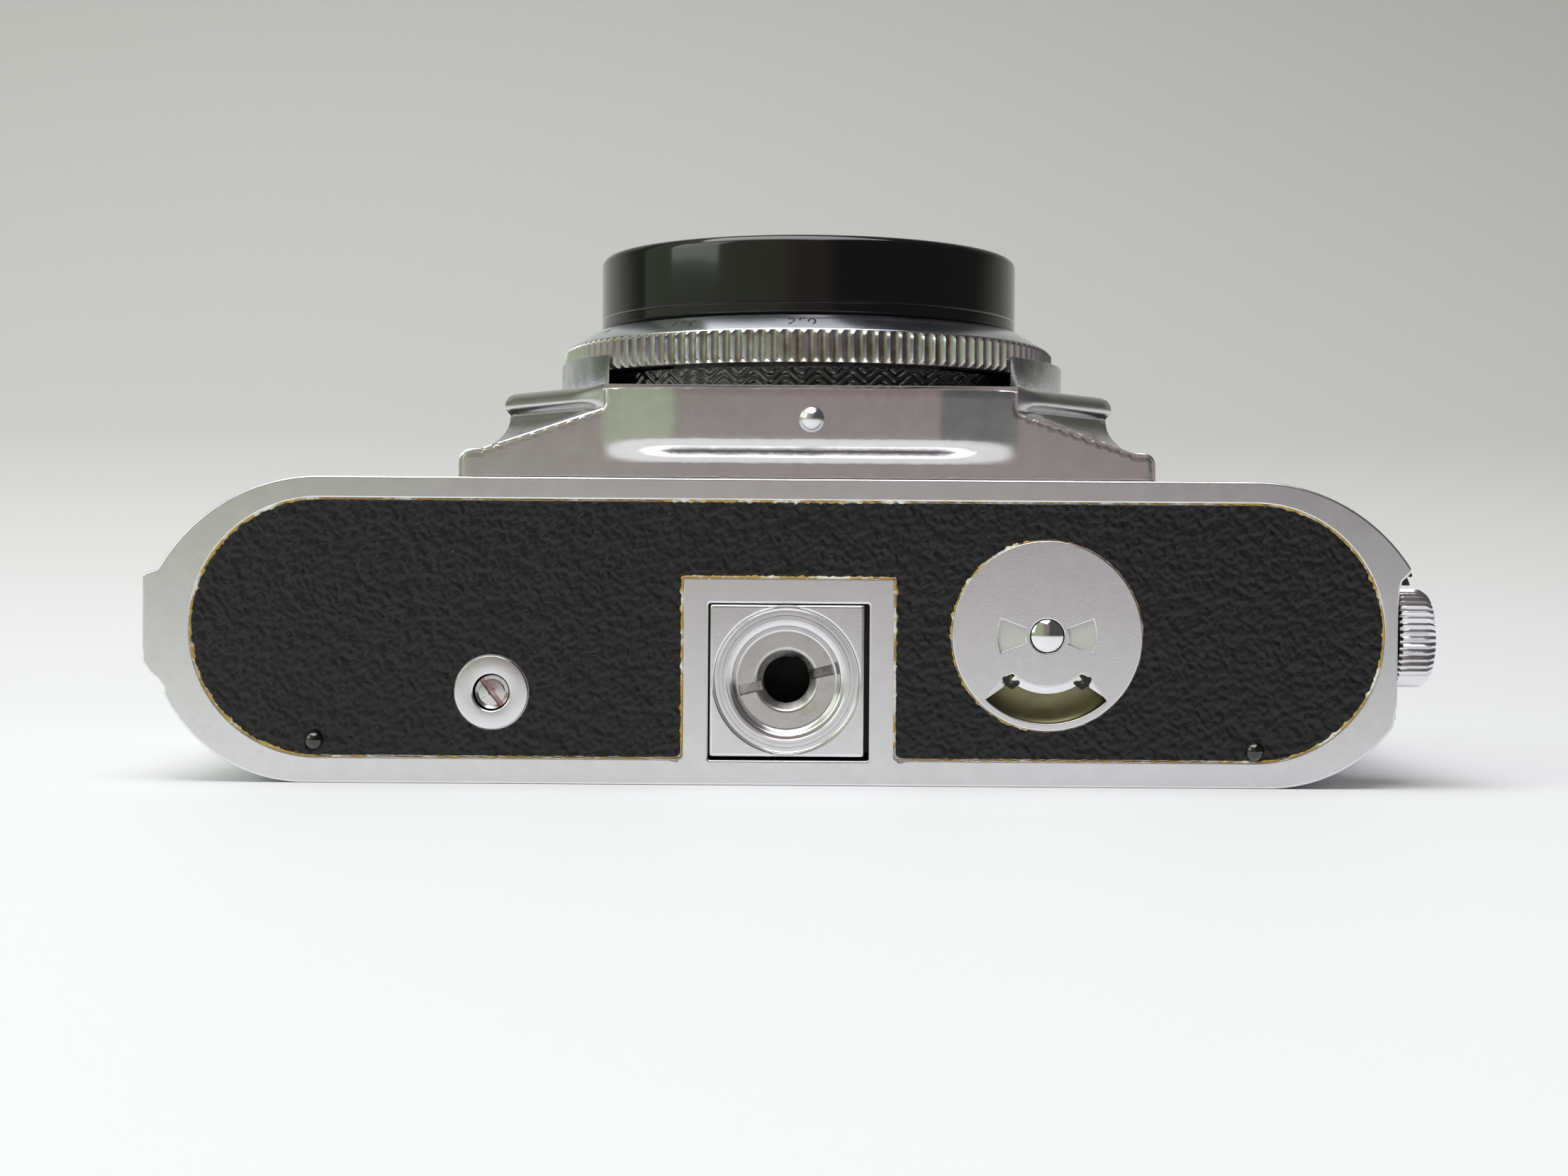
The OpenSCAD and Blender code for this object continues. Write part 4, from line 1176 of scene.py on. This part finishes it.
def lighting():
    bpy.context.scene.view_settings.view_transform = "Standard"
    light("ceiling", 0.9, 7.8, (-0.1, -0.15, 0.85), (0, 0, 0), (0.97, 0.975, 1.0), 0.7)
    light("window_left", 0.5, 1.5, (-0.75, -0.35, 0.45), (0, 0, 0.03), (0.97, 1.0, 0.94))
    world = bpy.data.worlds.new("room")
    bpy.context.scene.world = world
    world.use_nodes = True
    nodes, links = world.node_tree.nodes, world.node_tree.links
    back = nodes["Background"]
    where = nodes.new("ShaderNodeTexCoord").outputs["Generated"]
    split = nodes.new("ShaderNodeSeparateXYZ")
    links.new(where, split.inputs[0])
    ramp = colour_ramp(nodes, ((0.0, (0.44, 0.50, 0.36)), (1.0, (0.09, 0.09, 0.095)),
                               (0.36, (0.38, 0.44, 0.28)), (0.45, (0.29, 0.225, 0.22)),
                               (0.56, (0.29, 0.215, 0.21)), (0.64, (0.09, 0.09, 0.095))))
    spread = nodes.new("ShaderNodeMapRange")
    spread.inputs["From Min"].default_value = -1
    links.new(split.outputs["X"], spread.inputs["Value"])
    links.new(spread.outputs["Result"], ramp.inputs["Fac"])
    links.new(ramp.outputs["Color"], back.inputs["Color"])
    back.inputs["Strength"].default_value = 0.9


def camera():
    data = bpy.data.cameras.new("camera")
    data.lens = 56.2
    data.sensor_width = 36
    data.clip_start = 0.01
    eye = bpy.data.objects.new("camera", data)
    aside, distance, height = -0.00031, 0.2887, 0.0201
    roll = math.radians(-0.4)
    eye.location = (aside, -distance, height)
    eye.rotation_euler = (math.radians(90), roll, 0)
    bpy.context.scene.collection.objects.link(eye)
    bpy.context.scene.camera = eye


build_plate()
base_leather()
glue_lines()
tripod_block()
tripod_bush()
reminder_dial()
dial_bed()
dome("dial_rivet_dome", dial_x, dial_z, (rivet_high.x - rivet_low.x) / 2, rivet_low.y, dial_low.y + 0.05,
     polished, "back_cover", "polished_chrome", ["dial_rivet"])
release_set()
foot_tip = mm_box("rear_feet")[0].y
foot_r = 1.0
for side, (x, z) in feet.items():
    dome(f"rear_foot_{side}", x, z, foot_r, foot_tip, recess_y, lacquer, "back_cover", "black_lacquer",
         ["rear_feet"])
dome("front_foot_dome", (foot_low.x + foot_high.x) / 2, (foot_low.z + foot_high.z) / 2,
     (foot_high.x - foot_low.x) / 2, foot_low.y, foot_high.y, turned, "camera_body", "polished_chrome",
     ["front_foot"])
housing()
shutter_drum()
speed_ring()
speed_scale()
lens_cap()
rewind_knob()
winding_knob()
coverings()
finish_nodes()
stage()
lighting()
camera()
